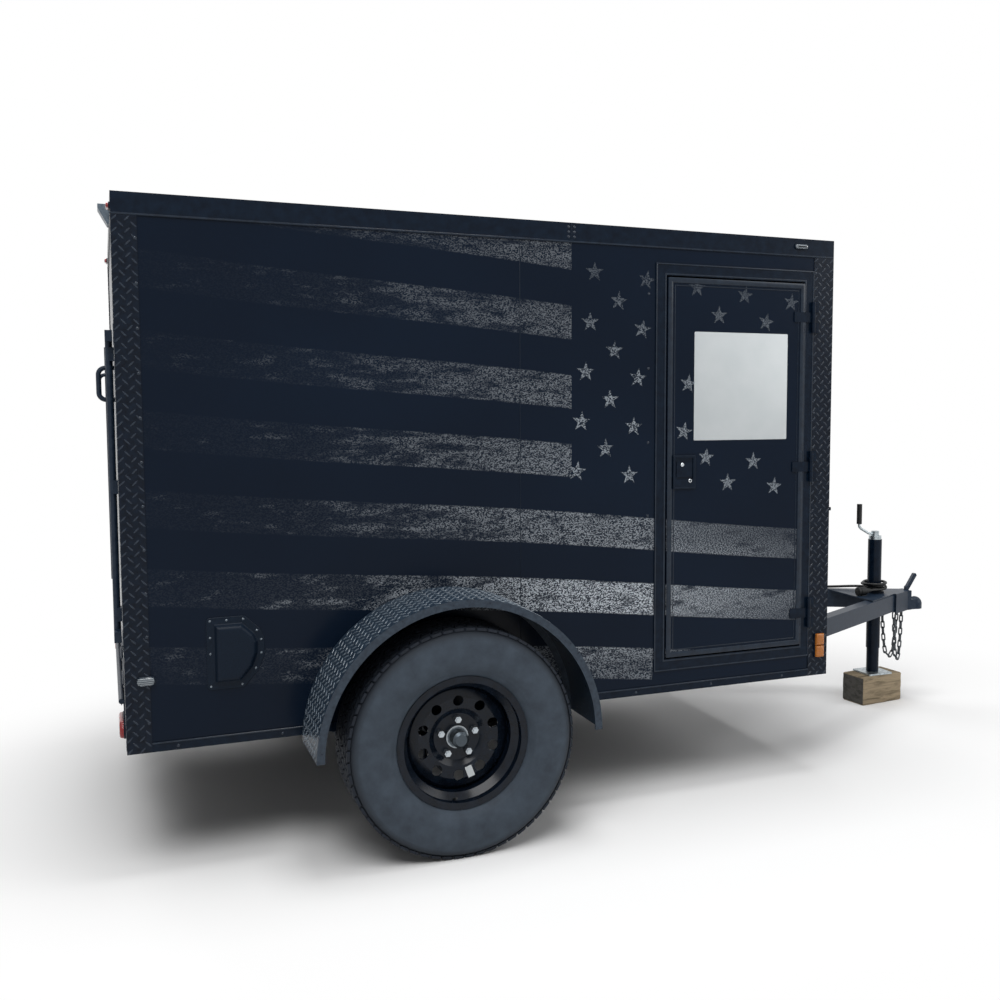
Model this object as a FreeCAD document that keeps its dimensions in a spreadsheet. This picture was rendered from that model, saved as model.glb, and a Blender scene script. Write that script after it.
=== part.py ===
import FreeCAD, Part
import Sketcher
import math
import os

# Enclosed cargo trailer, single axle, five feet wide and eight feet long, parked level on its
# tongue jack, which stands on an offcut of timber.  Millimetres.  +X points to the coupler,
# +Y to the left side, +Z up.  The origin is on the floor, midway along and across the trailer.

DOC = FreeCAD.newDocument("cargo_trailer")
SHEET = DOC.addObject("Spreadsheet::Sheet", "dims")
V = FreeCAD.Vector

# ---------------------------------------------------------------- driving dimensions
DIMENSIONS = {
    # box of the body
    "body_length": 2438, "body_width": 1524, "body_height": 1612, "body_base": 378,
    "wall_thick": 38, "roof_thick": 30, "skin": 3, "panel_gap": 5,
    # floor frame
    "deck_base": 505, "floor_thick": 19, "rail_tall": 101.6, "rail_wide": 50.8,
    "cross_tall": 76.2, "cross_wide": 38.1, "cross_count": 5,
    # outside trim
    "band_tall": 65, "band_lip": 35, "front_post": 84, "rear_post": 68, "skirt_tall": 29,
    "guard_top": 1010, "guard_cap": 8, "guard_cap_tall": 12,
    # tongue
    "tongue_tall": 76.2, "tongue_wide": 50.8, "tongue_spread": 547, "tongue_slope": 0.54,
    "tongue_reach": 1082, "jack_ahead": 809, "plate_thick": 6, "plate_behind": 150, "plate_ahead": 60,
    # coupler
    "ball_socket": 25.8, "socket_wall": 8.2, "ball_height": 441, "coupler_drop": 22,
    "coupler_half": 34, "coupler_long": 150, "coupler_wall": 5, "coupler_fit": 0.3,
    # tongue jack
    "jack_radius": 31.75, "jack_bore": 29, "jack_low": 250, "jack_high": 761, "leg_radius": 28.5,
    "leg_high": 620, "foot_size": 127, "foot_thick": 8, "flange_radius": 46, "flange_thick": 8,
    "cap_tall": 16, "crank_reach": 92, "crank_rise": 36, "crank_rod": 6, "grip_radius": 12,
    "grip_long": 92, "hub_radius": 18, "hub_tall": 22,
    "block_long": 240, "block_wide": 140, "block_tall": 130, "block_turn": 6,
    # wheels and axle
    "axle_place": 948, "wheel_out": 138, "tyre_radius": 359.5, "tyre_width": 225, "bead_radius": 190.5,
    "rim_half": 82, "rim_wall": 3.6, "flange_height": 17.5, "disc_thick": 5, "lug_circle": 57.15,
    "lug_count": 5, "lug_hole": 8, "stud_radius": 6.3, "nut_radius": 11, "nut_long": 20,
    "vent_count": 10, "vent_radius": 16.5, "vent_circle": 118, "hub_back": 62, "hub_flange": 70,
    "pilot_radius": 36,
    "spindle_radius": 17.5, "spindle_fit": 0.1, "cap_radius": 26, "cap_out": 58,
    "beam_size": 60, "beam_drop": 101.6, "riser_wide": 62,
    "spring_wide": 44.5, "spring_long": 641, "spring_leaf": 7, "leaf_count": 4, "eye_radius": 16,
    "eye_bolt": 7, "hanger_thick": 6,
    # fenders
    "fender_radius": 450, "fender_wide": 254, "fender_sheet": 3, "fender_lip": 24, "fender_lip_wide": 5,
    # side door, on the right
    "door_rear": 1755, "door_front": 2315, "door_low": 502, "door_high": 1830, "door_thick": 30,
    "door_frame": 42, "door_hinge_ahead": 33, "door_hinge_out": 9, "door_pin": 7, "hinge_tall": 112,
    "latch_rear": 1777, "latch_wide": 89, "latch_low": 1098, "latch_tall": 118, "latch_out": 6,
    # rear ramp door
    "ramp_low": 526, "ramp_high": 1885, "ramp_thick": 38, "ramp_stop": 14, "ramp_stop_thick": 18,
    "ramp_hinge_up": 515, "ramp_hinge_out": 10, "ramp_pin": 8, "lock_place": 620, "lock_low": 690,
    "lock_high": 1610, "lock_rod": 10, "lock_out": 14, "handle_reach": 51, "handle_low": 1400,
    "handle_tall": 108, "handle_rod": 7, "handle_bend": 20,
    # vents, lamps and plate
    "side_vent_out": 24, "vent_rear": 226, "vent_long": 166, "vent_low": 546, "vent_tall": 217,
    "vent_round": 57, "lamp_out": 18, "lamp_rise": 12, "amber_place": 2380, "amber_low": 446,
    "amber_long": 39, "amber_tall": 94, "clear_place": 30, "clear_low": 576, "clear_long": 52,
    "clear_tall": 30, "band_lamp_place": 2266, "band_lamp_low": 1951, "band_lamp_long": 56,
    "band_lamp_tall": 20, "tail_place": 560, "tail_long": 143, "tail_tall": 58,
    "header_lamp_in": 90, "header_lamp_drop": 45, "header_lamp_long": 60,
    "load_lamp_long": 80, "load_lamp_tall": 58, "load_lamp_out": 32, "load_lamp_from": 460,
    "plate_long": 305, "plate_tall": 152, "plate_place": 300, "plate_drop": 60, "plate_sheet": 3,
    "plate_hole_long": 177.8, "plate_hole_tall": 120.65, "plate_hole_radius": 3.5,
    # chains and cable
    "link_rod": 3.2, "link_half": 7.2, "link_long": 42, "cable_radius": 6, "coil_radius": 62,
    "coil_tall": 52, "plug_radius": 20, "plug_long": 74, "plug_aside": 55,
    "gland_radius": 13, "gland_long": 25,
}
for row, (alias, value) in enumerate(DIMENSIONS.items(), start=1):
    SHEET.set("A%d" % row, alias)
    SHEET.set("B%d" % row, str(value))
    SHEET.setAlias("B%d" % row, alias)
DOC.recompute()


def size(alias):
    """The number in one cell of the sheet."""
    return float(SHEET.get(alias))


def ex(words):
    """An expression written with bare cell names, as FreeCAD reads it."""
    out = []
    word = ""
    for letter in words + " ":
        if letter.isalnum() or letter == "_":
            word += letter
        else:
            out.append("dims." + word if word in DIMENSIONS else word)
            out.append(letter)
            word = ""
    return "".join(out).strip()


def number(words):
    """The value of such an expression now."""
    return float(SHEET.evalExpression(ex(words)))


# Planes of the body that most pieces hang on, as expressions.
REAR = "(-(body_length + tongue_reach - handle_reach) / 2)"
FRONT = "(%s + body_length)" % REAR
HALF = "(body_width / 2)"
INNER = "(body_width / 2 - skin - wall_thick)"
SKINNED = "(body_width / 2 - skin)"
ROOF = "(body_base + body_height)"
CEILING = "(%s - skin - roof_thick)" % ROOF
AXLE = "(%s + axle_place)" % REAR
JACK = "(%s + jack_ahead)" % FRONT
HUB = "(%s + wheel_out)" % HALF
PLATE_TOP = "(deck_base + plate_thick)"
SPRING = "(%s - rail_wide / 2 - 4)" % INNER
SIDES = (("left", 1), ("right", -1))

ALONG_Z = FreeCAD.Rotation()
ALONG_MINUS_Y = FreeCAD.Rotation(V(1, 0, 0), 90)       # sketch x, y become X, Z; the pad runs to -Y
ALONG_X = FreeCAD.Rotation(V(1, 1, 1), 120)            # sketch x, y become Y, Z; the pad runs to +X
HALF_TURN = FreeCAD.Rotation(V(0, 0, 1), 180)


def put(thing, at, turn=ALONG_Z):
    """Turns an object and binds its place to three expressions."""
    thing.Placement = FreeCAD.Placement(V(0, 0, 0), turn)
    for axis, words in zip("xyz", at):
        thing.setExpression("Placement.Base." + axis, ex(words))
    return thing


def box(x, y, z, long, wide, tall):
    """A block from its low corner and its three lengths, all expressions."""
    block = DOC.addObject("Part::Box", "block")
    for name, words in (("Length", long), ("Width", wide), ("Height", tall)):
        block.setExpression(name, ex(words))
    return put(block, (x, y, z))


def side_box(sign, x, inner, z, long, wide, tall):
    """A block on the left (1) or right (-1), given its inner distance from the centreline."""
    y = inner if sign > 0 else "-(%s) - (%s)" % (inner, wide)
    return box(x, y, z, long, wide, tall)


def middle_box(x, z, long, wide, tall):
    """A block centred across the trailer."""
    return box(x, "-(%s) / 2" % wide, z, long, wide, tall)


def rod(at, radius, long, turn=ALONG_Z, angle="360"):
    """A round bar, or a segment of one, from the centre of its first end."""
    bar = DOC.addObject("Part::Cylinder", "rod")
    bar.setExpression("Radius", ex(radius))
    bar.setExpression("Height", ex(long))
    bar.setExpression("Angle", ex(angle))
    return put(bar, at, turn)


def ball(at, radius):
    """A whole sphere."""
    globe = DOC.addObject("Part::Sphere", "ball")
    globe.setExpression("Radius", ex(radius))
    return put(globe, at)


def sketch_outline(body, points):
    """A closed outline of straight lines whose corners are bound to expressions."""
    sketch = body.newObject("Sketcher::SketchObject", "outline")
    plane = [item for item in body.Origin.OriginFeatures if item.Role == "XY_Plane"][0]
    sketch.AttachmentSupport = [(plane, "")]
    sketch.MapMode = "FlatFace"
    corners = [V(number(x), number(y), 0) for x, y in points]
    count = len(corners)
    for index in range(count):
        sketch.addGeometry(Part.LineSegment(corners[index], corners[(index + 1) % count]), False)
    for index in range(count):
        sketch.addConstraint(Sketcher.Constraint("Coincident", index, 2, (index + 1) % count, 1))
    for index, (x, y) in enumerate(points):
        for kind, words, value in (("DistanceX", x, corners[index].x), ("DistanceY", y, corners[index].y)):
            place = sketch.addConstraint(Sketcher.Constraint(kind, -1, 1, index, 1, value))
            sketch.setExpression("Constraints[%d]" % place, ex(words))
    return sketch


def padded(points, long, at, turn=ALONG_Z):
    """An outline given thickness."""
    body = DOC.addObject("PartDesign::Body", "body")
    sketch = sketch_outline(body, points)
    pad = body.newObject("PartDesign::Pad", "pad")
    pad.Profile = sketch
    pad.setExpression("Length", ex(long))
    body.Tip = pad
    return put(body, at, turn)


def revolved(points, at, turn=ALONG_Z):
    """An outline of radius and distance along Y, turned about Y."""
    body = DOC.addObject("PartDesign::Body", "body")
    sketch = sketch_outline(body, points)
    turned = body.newObject("PartDesign::Revolution", "turned")
    turned.Profile = sketch
    turned.ReferenceAxis = (sketch, ["V_Axis"])
    turned.Angle = 360
    body.Tip = turned
    return put(body, at, turn)


def fused(*things):
    """Pieces welded into one."""
    whole = DOC.addObject("Part::MultiFuse", "fused")
    whole.Shapes = list(things)
    return whole


def cut(base, *tools):
    """A piece less its tools."""
    for tool in tools:
        less = DOC.addObject("Part::Cut", "cut")
        less.Base = base
        less.Tool = tool
        base = less
    return base


def together(*things):
    """Separate pieces that share a node."""
    group = DOC.addObject("Part::Compound", "group")
    group.Links = list(things)
    return group


def shaped(shape):
    """A piece whose shape is worked out from the sheet by the code below."""
    feature = DOC.addObject("Part::Feature", "shaped")
    feature.Shape = shape
    return feature


NODES = []


def node(label, thing):
    """Names a finished sub-part."""
    thing.Label = label
    NODES.append(thing)
    return thing


# ---------------------------------------------------------------- floor frame and body shell
def floor_frame():
    rail_low = "deck_base - rail_tall"
    rails = [side_box(sign, REAR + " + skin", INNER + " - rail_wide", rail_low,
                      "body_length - 2 * skin", "rail_wide", "rail_tall") for _, sign in SIDES]
    node("side_rails", together(*rails))
    ends = [middle_box(x, rail_low, "rail_wide", "2 * (%s - rail_wide)" % INNER, "rail_tall")
            for x in (REAR, FRONT + " - rail_wide")]
    node("end_rails", together(*ends))
    bay = "((body_length - 2 * rail_wide) / (cross_count + 1))"
    members = []
    for index in range(int(size("cross_count"))):
        x = "%s + rail_wide + %d * %s - cross_wide / 2" % (REAR, index + 1, bay)
        members.append(middle_box(x, "deck_base - cross_tall", "cross_wide",
                                  "2 * (%s - rail_wide)" % INNER, "cross_tall"))
    node("crossmembers", together(*members))
    node("floor_deck", middle_box(REAR + " + ramp_thick + skin + panel_gap", "deck_base",
                                  "body_length - 2 * skin - ramp_thick - panel_gap - wall_thick",
                                  "2 * " + INNER, "floor_thick"))


def shell():
    tall = "%s - body_base" % CEILING
    long = "body_length - 2 * skin"
    left = side_box(1, REAR + " + skin", INNER, "body_base", long, "wall_thick", tall)
    right = side_box(-1, REAR + " + skin", INNER, "body_base", long, "wall_thick", tall)
    doorway = side_box(-1, REAR + " + door_rear - panel_gap", INNER + " - skin",
                       "door_low - panel_gap", "door_front - door_rear + 2 * panel_gap",
                       "wall_thick + 2 * skin", "door_high - door_low + 2 * panel_gap")
    node("wall_left", left)
    node("wall_right", cut(right, doorway))
    node("wall_front", middle_box(FRONT + " - skin - wall_thick", "deck_base", "wall_thick",
                                  "2 * " + INNER, "%s - deck_base" % CEILING))
    node("roof_panel", middle_box(REAR + " + skin", CEILING, long, "2 * " + SKINNED, "roof_thick"))


def rear_frame():
    """Posts and header around the ramp, with the lip that the ramp closes against."""
    clear = "(%s - rear_post)" % HALF
    depth = "ramp_thick + ramp_stop_thick"
    header_low = "(ramp_high + panel_gap)"
    parts = []
    for _, sign in SIDES:
        parts.append(side_box(sign, REAR + " + skin", clear, "deck_base", depth, INNER + " - " + clear,
                              CEILING + " - deck_base"))
        parts.append(side_box(sign, REAR + " + skin + ramp_thick + 0.5", clear + " - ramp_stop",
                              "deck_base + floor_thick", "ramp_stop_thick - 0.5", "ramp_stop + 1",
                              CEILING + " - deck_base - floor_thick"))
    parts.append(middle_box(REAR + " + skin", header_low, depth, "2 * " + INNER,
                            CEILING + " - " + header_low))
    parts.append(middle_box(REAR + " + skin + ramp_thick + 0.5", header_low + " - ramp_stop",
                            "ramp_stop_thick - 0.5", "2 * " + clear, "ramp_stop + 1"))
    notch = middle_box(REAR + " + skin + ramp_thick + panel_gap", "deck_base", depth, "2 * " + INNER,
                       "floor_thick")
    node("rear_frame", cut(fused(*parts), notch))


def trims():
    """Treadplate corner posts, roof band, skirt strips and the stone guard."""
    tall = "%s - band_tall - body_base" % ROOF
    rear, front = [], []
    for _, sign in SIDES:
        rear.append(fused(
            side_box(sign, REAR, SKINNED, "body_base", "rear_post", "skin", tall),
            side_box(sign, REAR, HALF + " - rear_post", "body_base", "skin", "rear_post", tall)))
        front.append(fused(
            side_box(sign, FRONT + " - front_post", SKINNED, "body_base", "front_post", "skin", tall),
            side_box(sign, FRONT + " - skin", HALF + " - front_post", "body_base", "skin",
                     "front_post", tall)))
    node("corner_posts", together(*rear, *front))
    low = ROOF + " - band_tall"
    outer = middle_box(REAR, low, "body_length", "body_width", "band_tall")
    hollow = middle_box(REAR + " + skin", low, "body_length - 2 * skin", "body_width - 2 * skin",
                        "band_tall - skin")
    window = middle_box(REAR + " + band_lip", low, "body_length - 2 * band_lip",
                        "body_width - 2 * band_lip", "band_tall + skin")
    node("roof_band", cut(outer, hollow, window))
    strips = [side_box(sign, REAR + " + rear_post", SKINNED, "body_base",
                       "body_length - rear_post - front_post", "skin", "skirt_tall")
              for _, sign in SIDES]
    node("skirt_strips", together(*strips))
    face = middle_box(FRONT + " - skin", "deck_base", "skin", "body_width - 2 * front_post",
                      "guard_top - deck_base")
    cap = middle_box(FRONT, "guard_top - guard_cap_tall", "guard_cap", "body_width", "guard_cap_tall")
    node("stone_guard", fused(face, cap))


# ---------------------------------------------------------------- tongue
def tongue():
    """Two mitred rails that meet on the centreline."""
    outer = "tongue_spread"
    inner = "(tongue_spread - tongue_wide * sqrt(1 + tongue_slope ^ 2))"
    for name, sign in SIDES:
        flip = "" if sign > 0 else "-"
        points = [("0", flip + outer), (outer + " / tongue_slope", "0"),
                  (inner + " / tongue_slope", "0"), ("0", flip + inner)]
        node("tongue_rail_" + name, padded(points, "tongue_tall", (FRONT, "0", "deck_base - tongue_tall")))
    behind = "(jack_ahead - plate_behind)"
    ahead = "(jack_ahead + plate_ahead)"
    spread = "(tongue_spread - 4 - tongue_slope * %s)"
    corners = [(behind, "-" + spread % behind), (ahead, "-" + spread % ahead),
               (ahead, spread % ahead), (behind, spread % behind)]
    plate = padded(corners, "plate_thick", (FRONT, "0", "deck_base"))
    hole = rod((JACK, "0", "deck_base - 1"), "jack_radius + coupler_fit", "plate_thick + 2")
    node("jack_plate", cut(plate, hole))


def coupler():
    """Pressed A-frame coupler over the rails' meeting point, with a socket for a 50.8 mm ball."""
    nose = "(tongue_reach - ball_socket - socket_wall)"
    start = "(jack_ahead + plate_ahead + 2)"
    low = "(ball_height - coupler_drop)"
    top = "(deck_base + coupler_fit + coupler_wall)"
    wide = "(tongue_spread + coupler_wall * 2 - tongue_slope * %s)" % start
    neck = "(%s - 46)" % nose
    shoulder = "(%s + coupler_long - 40)" % start
    points = [(start, "-" + wide), (shoulder, "-coupler_half"), (neck, "-coupler_half"),
              (neck, "coupler_half"), (shoulder, "coupler_half"), (start, wide)]
    body = padded(points, "%s - %s" % (top, low), (FRONT, "0", low))
    stem = middle_box("%s + %s - 1" % (FRONT, neck), low, "47", "2 * coupler_half - 8",
                      "coupler_drop + ball_socket")
    bowl = rod(("%s + %s" % (FRONT, nose), "0", low), "ball_socket + socket_wall", "coupler_drop")
    dome = ball(("%s + %s" % (FRONT, nose), "0", "ball_height"), "ball_socket + socket_wall")
    grown = "(tongue_spread + coupler_fit * 2)"
    inside = padded([("0", "-" + grown), (grown + " / tongue_slope", "0"), ("0", grown)],
                    "deck_base + coupler_fit - %s + 1" % low, (FRONT, "0", low + " - 1"))
    ball_room = ball(("%s + %s" % (FRONT, nose), "0", "ball_height"), "ball_socket")
    ball_way = rod(("%s + %s" % (FRONT, nose), "0", low + " - 20"), "ball_socket", "coupler_drop + 20")
    whole = fused(body, stem, bowl, dome)
    node("coupler", cut(whole, inside, ball_room, ball_way))
    root = "%s + %s - 58" % (FRONT, nose)
    lever = padded([("0", "0"), ("16", "0"), ("26", "14"), ("62", "66"), ("56", "76"), ("46", "76"),
                    ("8", "20"), ("0", "14")], "16", (root, "8", top), ALONG_MINUS_Y)
    node("coupler_latch", lever)


# ---------------------------------------------------------------- jack
def jack():
    tube = rod((JACK, "0", "jack_low"), "jack_radius", "jack_high - jack_low")
    flange = rod((JACK, "0", PLATE_TOP), "flange_radius", "flange_thick")
    bore = rod((JACK, "0", "jack_low - 1"), "jack_bore", "jack_high - jack_low - cap_tall")
    node("jack_tube", cut(fused(tube, flange), bore))
    cap = rod((JACK, "0", "jack_high"), "jack_radius - 3", "cap_tall")
    boss = rod((JACK, "0", "jack_high + cap_tall"), "hub_radius", "hub_tall")
    base = V(number(JACK) - size("hub_radius") + 4, 0, number("jack_high + cap_tall + hub_tall / 2"))
    tip = V(number(JACK + " - crank_reach"), 0, base.z + size("crank_rise"))
    route = [base, V(base.x - 24, 0, base.z + 2), V(tip.x + 10, 0, tip.z - 10), tip,
             V(tip.x, 0, tip.z + 12)]
    arm = shaped(round_path(route, size("crank_rod"), [10, 10, 8]))
    node("jack_crank", fused(cap, boss, arm))
    grip = rod((JACK + " - crank_reach", "0", "jack_high + cap_tall + hub_tall / 2 + crank_rise + 12"),
               "grip_radius", "grip_long")
    node("crank_grip", grip)
    node("jack_leg", rod((JACK, "0", "block_tall + foot_thick"), "leg_radius",
                         "leg_high - block_tall - foot_thick"))
    node("jack_foot", box(JACK + " - foot_size / 2", "-foot_size / 2", "block_tall + coupler_fit",
                          "foot_size", "foot_size", "foot_thick - coupler_fit"))
    half_long, half_wide = "(block_long / 2)", "(block_wide / 2)"
    corners = [("-" + half_long, "-" + half_wide), (half_long, "-" + half_wide),
               (half_long, half_wide), ("-" + half_long, half_wide)]
    timber = padded(corners, "block_tall", (JACK, "0", "0"),
                    FreeCAD.Rotation(V(0, 0, 1), size("block_turn")))
    node("jack_block", timber)


def round_path(points, radius, bends):
    """A round bar along straight runs joined by tangent arcs, one bend radius a corner."""
    edges = []
    start = points[0]
    for index, bend in enumerate(bends, start=1):
        before = (points[index - 1] - points[index]).normalize()
        after = (points[index + 1] - points[index]).normalize()
        half = before.getAngle(after) / 2
        back = bend / math.tan(half)
        first, last = points[index] + before * back, points[index] + after * back
        centre_way = (before + after).normalize()
        middle = points[index] + centre_way * (bend / math.sin(half) - bend)
        edges.append(Part.makeLine(start, first))
        edges.append(Part.Arc(first, middle, last).toShape())
        start = last
    edges.append(Part.makeLine(start, points[-1]))
    wire = Part.Wire(edges)
    way = points[1] - points[0]
    ring = Part.Wire([Part.makeCircle(radius, points[0], way)])
    return wire.makePipeShell([ring], True, True)


# ---------------------------------------------------------------- wheels and axle
def tyre_section():
    """Corners of the tyre's section, right half then left, as radius and distance across."""
    wide = "(tyre_width / 2)"
    seat = "(bead_radius + coupler_fit)"
    bead = "(rim_half - 6)"
    outside = [(seat, bead), ("bead_radius + 18", bead), ("bead_radius + 32", wide + " - 18"),
               ("bead_radius + 55", wide + " - 4"), ("bead_radius + 84", wide),
               ("tyre_radius - 45", wide + " - 4"), ("tyre_radius - 18", wide + " - 14"),
               ("tyre_radius - 4", wide + " - 26"), ("tyre_radius", wide + " - 48")]
    inside = [("tyre_radius - 16", wide + " - 40"), ("tyre_radius - 40", wide + " - 14"),
              ("bead_radius + 70", wide + " - 10"), ("bead_radius + 34", bead + " - 4"),
              (seat, bead + " - 16")]
    mirror = [(r, "-(%s)" % y) for r, y in reversed(outside)]
    return outside[:] + mirror + [(r, "-(%s)" % y) for r, y in reversed(inside)] + inside


def rim_section():
    """Corners of the pressed wheel: barrel with a drop centre, and the disc inside it."""
    seat, out = "bead_radius", "(bead_radius + flange_height)"
    inner = "(bead_radius - rim_wall)"
    lip = "(rim_half - 5)"
    return [(out, "-rim_half"), (out, "-" + lip), (seat, "-" + lip), (seat, "-rim_half + 26"),
            ("bead_radius - 20", "-rim_half + 46"), ("bead_radius - 20", "14"),
            (seat, "rim_half - 44"), (seat, lip), (out, lip), (out, "rim_half"), (inner, "rim_half"),
            (inner, "rim_half - 42"), (inner + " - 20", "16"), (inner + " - 20", "8"),
            ("vent_circle + 34", "-12"), ("vent_circle + 10", "-22"), ("vent_circle - 26", "-14"),
            ("hub_flange + 6", "0"), ("pilot_radius", "0"), ("pilot_radius", "-disc_thick"),
            ("hub_flange + 4", "-disc_thick"), ("vent_circle - 26", "-14 - disc_thick"),
            ("vent_circle + 10", "-22 - disc_thick"), ("vent_circle + 36", "-12 - disc_thick"),
            (inner + " - 20", "-4"), (inner + " - 20", "-rim_half + 44"),
            (inner, "-rim_half + 25"), (inner, "-rim_half")]


def hub_section():
    """Corners of the hub: bored barrel, stud flange and closed grease cap."""
    bore = "(spindle_radius + spindle_fit)"
    return [(bore, "hub_back"), ("38", "hub_back"), ("38", "14"), ("hub_flange", "14"),
            ("hub_flange", "0.2"), ("pilot_radius - 0.5", "0.2"), ("pilot_radius - 0.5", "-12"),
            ("cap_radius", "-14"), ("cap_radius", "-cap_out + 8"), ("cap_radius - 8", "-cap_out + 1"),
            ("0", "-cap_out"), ("0", "-36"), (bore, "-36")]


def around(count, circle, make):
    """Copies of a piece at even steps round the wheel's axis, as (x, z) expressions."""
    made = []
    for index in range(int(size(count))):
        angle = 2 * math.pi * index / size(count) + math.pi / 2
        made.append(make("%s * %.6f" % (circle, math.cos(angle)), "%s * %.6f" % (circle, math.sin(angle))))
    return made


def wheel(name, sign):
    """Tyre, pressed wheel and hub.  The outboard side faces -Y on the right and +Y on the left."""
    y = "%s%s" % ("" if sign > 0 else "-", HUB)
    turn = HALF_TURN if sign > 0 else ALONG_Z
    at = (AXLE, y, "tyre_radius")
    node("tyre_" + name, revolved(tyre_section(), at, turn))
    blank = revolved(rim_section(), at, turn)

    def bore(radius):
        def make(dx, dz):
            return rod((AXLE + " + " + dx, y + " + 60", "tyre_radius + " + dz), radius, "120",
                       ALONG_MINUS_Y)
        return make
    holes = around("vent_count", "vent_circle", bore("vent_radius"))
    holes += around("lug_count", "lug_circle", bore("lug_hole"))
    node("rim_" + name, cut(blank, fused(*holes)))

    def stud(dx, dz):
        start = "%s + nut_long + disc_thick + 4" % y if sign > 0 else "%s + 13" % y
        return rod((AXLE + " + " + dx, start, "tyre_radius + " + dz), "stud_radius",
                   "nut_long + disc_thick + 17", ALONG_MINUS_Y)

    def nut(dx, dz):
        start = "%s + disc_thick + 0.3 + nut_long" % y if sign > 0 else "%s - disc_thick - 0.3" % y
        prism = DOC.addObject("Part::Prism", "nut")
        prism.Polygon = 6
        prism.setExpression("Circumradius", ex("nut_radius"))
        prism.setExpression("Height", ex("nut_long"))
        return put(prism, (AXLE + " + " + dx, start, "tyre_radius + " + dz), ALONG_MINUS_Y)
    centre = revolved(hub_section(), at, turn)
    node("hub_" + name, fused(centre, *(around("lug_count", "lug_circle", stud)
                                        + around("lug_count", "lug_circle", nut))))


def axle():
    """Square beam dropped below the spindles, with its risers and spindles."""
    beam_z = "tyre_radius - beam_drop - beam_size / 2"
    reach = "(%s - hub_back - 6)" % HUB
    parts = [middle_box(AXLE + " - beam_size / 2", beam_z, "beam_size", "2 * " + reach, "beam_size")]
    for _, sign in SIDES:
        parts.append(side_box(sign, AXLE + " - beam_size / 2", reach + " - riser_wide", beam_z,
                              "beam_size", "riser_wide", "beam_drop + beam_size"))
        start = "%s + 35.5" % HUB if sign > 0 else "-%s + riser_wide" % reach
        parts.append(rod((AXLE, start, "tyre_radius"), "spindle_radius",
                         "%s + 35.5 - %s + riser_wide" % (HUB, reach), ALONG_MINUS_Y))
    node("axle_beam", fused(*parts))


def leaf_spring(sign):
    """A bundle of leaves, each a shallow arc, with an eye at each end of the longest."""
    eye_height = size("deck_base") - size("rail_tall") - 2 * size("eye_radius") - 6
    seat = size("tyre_radius") - size("beam_drop") + size("beam_size") / 2
    thick, leaves = size("spring_leaf"), int(size("leaf_count"))
    half = size("spring_long") / 2
    main_low = seat + thick * (leaves - 1)
    rise = eye_height - main_low - thick
    radius = (half * half + rise * rise) / (2 * rise)
    centre = main_low + radius
    wide = size("spring_wide")
    y = sign * number(SPRING)
    x = number(AXLE)
    whole = None
    for index in range(leaves):
        reach = half * (1 - 0.22 * index)
        outer = radius + thick * index
        angle = math.asin(reach / outer)
        inner = outer - thick
        corners = []
        for r, side in ((outer, -1), (outer, 0), (outer, 1), (inner, 1), (inner, 0), (inner, -1)):
            corners.append(V(x + side * r * math.sin(angle), y - wide / 2,
                             centre - r * math.cos(angle * abs(side))))
        wire = Part.Wire([Part.Arc(*corners[:3]).toShape(), Part.makeLine(corners[2], corners[3]),
                          Part.Arc(*corners[3:]).toShape(), Part.makeLine(corners[5], corners[0])])
        leaf = Part.Face(wire).extrude(V(0, wide, 0))
        whole = leaf if whole is None else whole.fuse(leaf)
    for side in (-1, 1):
        eye_x = x + side * half
        eye = Part.makeCylinder(size("eye_radius"), wide, V(eye_x, y - wide / 2, eye_height), V(0, 1, 0))
        hole = Part.makeCylinder(size("eye_bolt") + 0.3, wide, V(eye_x, y - wide / 2, eye_height),
                                 V(0, 1, 0))
        whole = whole.fuse(eye).cut(hole)
    return whole.removeSplitter()


def suspension():
    node("leaf_springs", together(*[shaped(leaf_spring(sign)) for _, sign in SIDES]))
    frame_low = "(deck_base - rail_tall)"
    eye_z = "(%s - 2 * eye_radius - 6)" % frame_low
    gap = "(spring_wide + 2)"
    hangers, plates = [], []
    for _, sign in SIDES:
        middle = SPRING
        for end in ("-1", "1"):
            x = "%s + %s * spring_long / 2" % (AXLE, end)
            ears = []
            for inner in ("%s + %s / 2" % (middle, gap), "%s - %s / 2 - hanger_thick" % (middle, gap)):
                ears.append(side_box(sign, x + " - 22", inner, eye_z + " - 18", "44", "hanger_thick",
                                     "%s - %s + 18" % (frame_low, eye_z)))
            across = "%s + 2 * hanger_thick" % gap
            start = "%s%s + (%s) / 2" % ("" if sign > 0 else "-", middle, across)
            ears.append(rod((x, start, eye_z), "eye_bolt", across, ALONG_MINUS_Y))
            hangers.append(fused(*ears))
        top = "tyre_radius - beam_drop + beam_size / 2"
        stack = "(leaf_count * spring_leaf)"
        wide = "(spring_wide + 28)"
        over = side_box(sign, AXLE + " - beam_size / 2 - 14", "%s - %s / 2" % (middle, wide),
                        "%s + %s + 1" % (top, stack), "beam_size + 28", wide, "8")
        under = side_box(sign, AXLE + " - beam_size / 2 - 14", "%s - %s / 2" % (middle, wide),
                         top + " - beam_size - 9", "beam_size + 28", wide, "8")
        bolts = []
        for dx in ("-beam_size / 2 - 8", "beam_size / 2 + 8"):
            for dy in ("-spring_wide / 2 - 7", "spring_wide / 2 + 7"):
                y = "%s(%s)" % ("" if sign > 0 else "-", middle + " + " + dy)
                bolts.append(rod((AXLE + " + " + dx, y, top + " - beam_size - 18"), "6",
                                 "beam_size + %s + 32" % stack))
        plates.append(fused(over, under, *bolts))
    node("spring_hangers", together(*hangers))
    node("axle_clamps", together(*plates))


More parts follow.
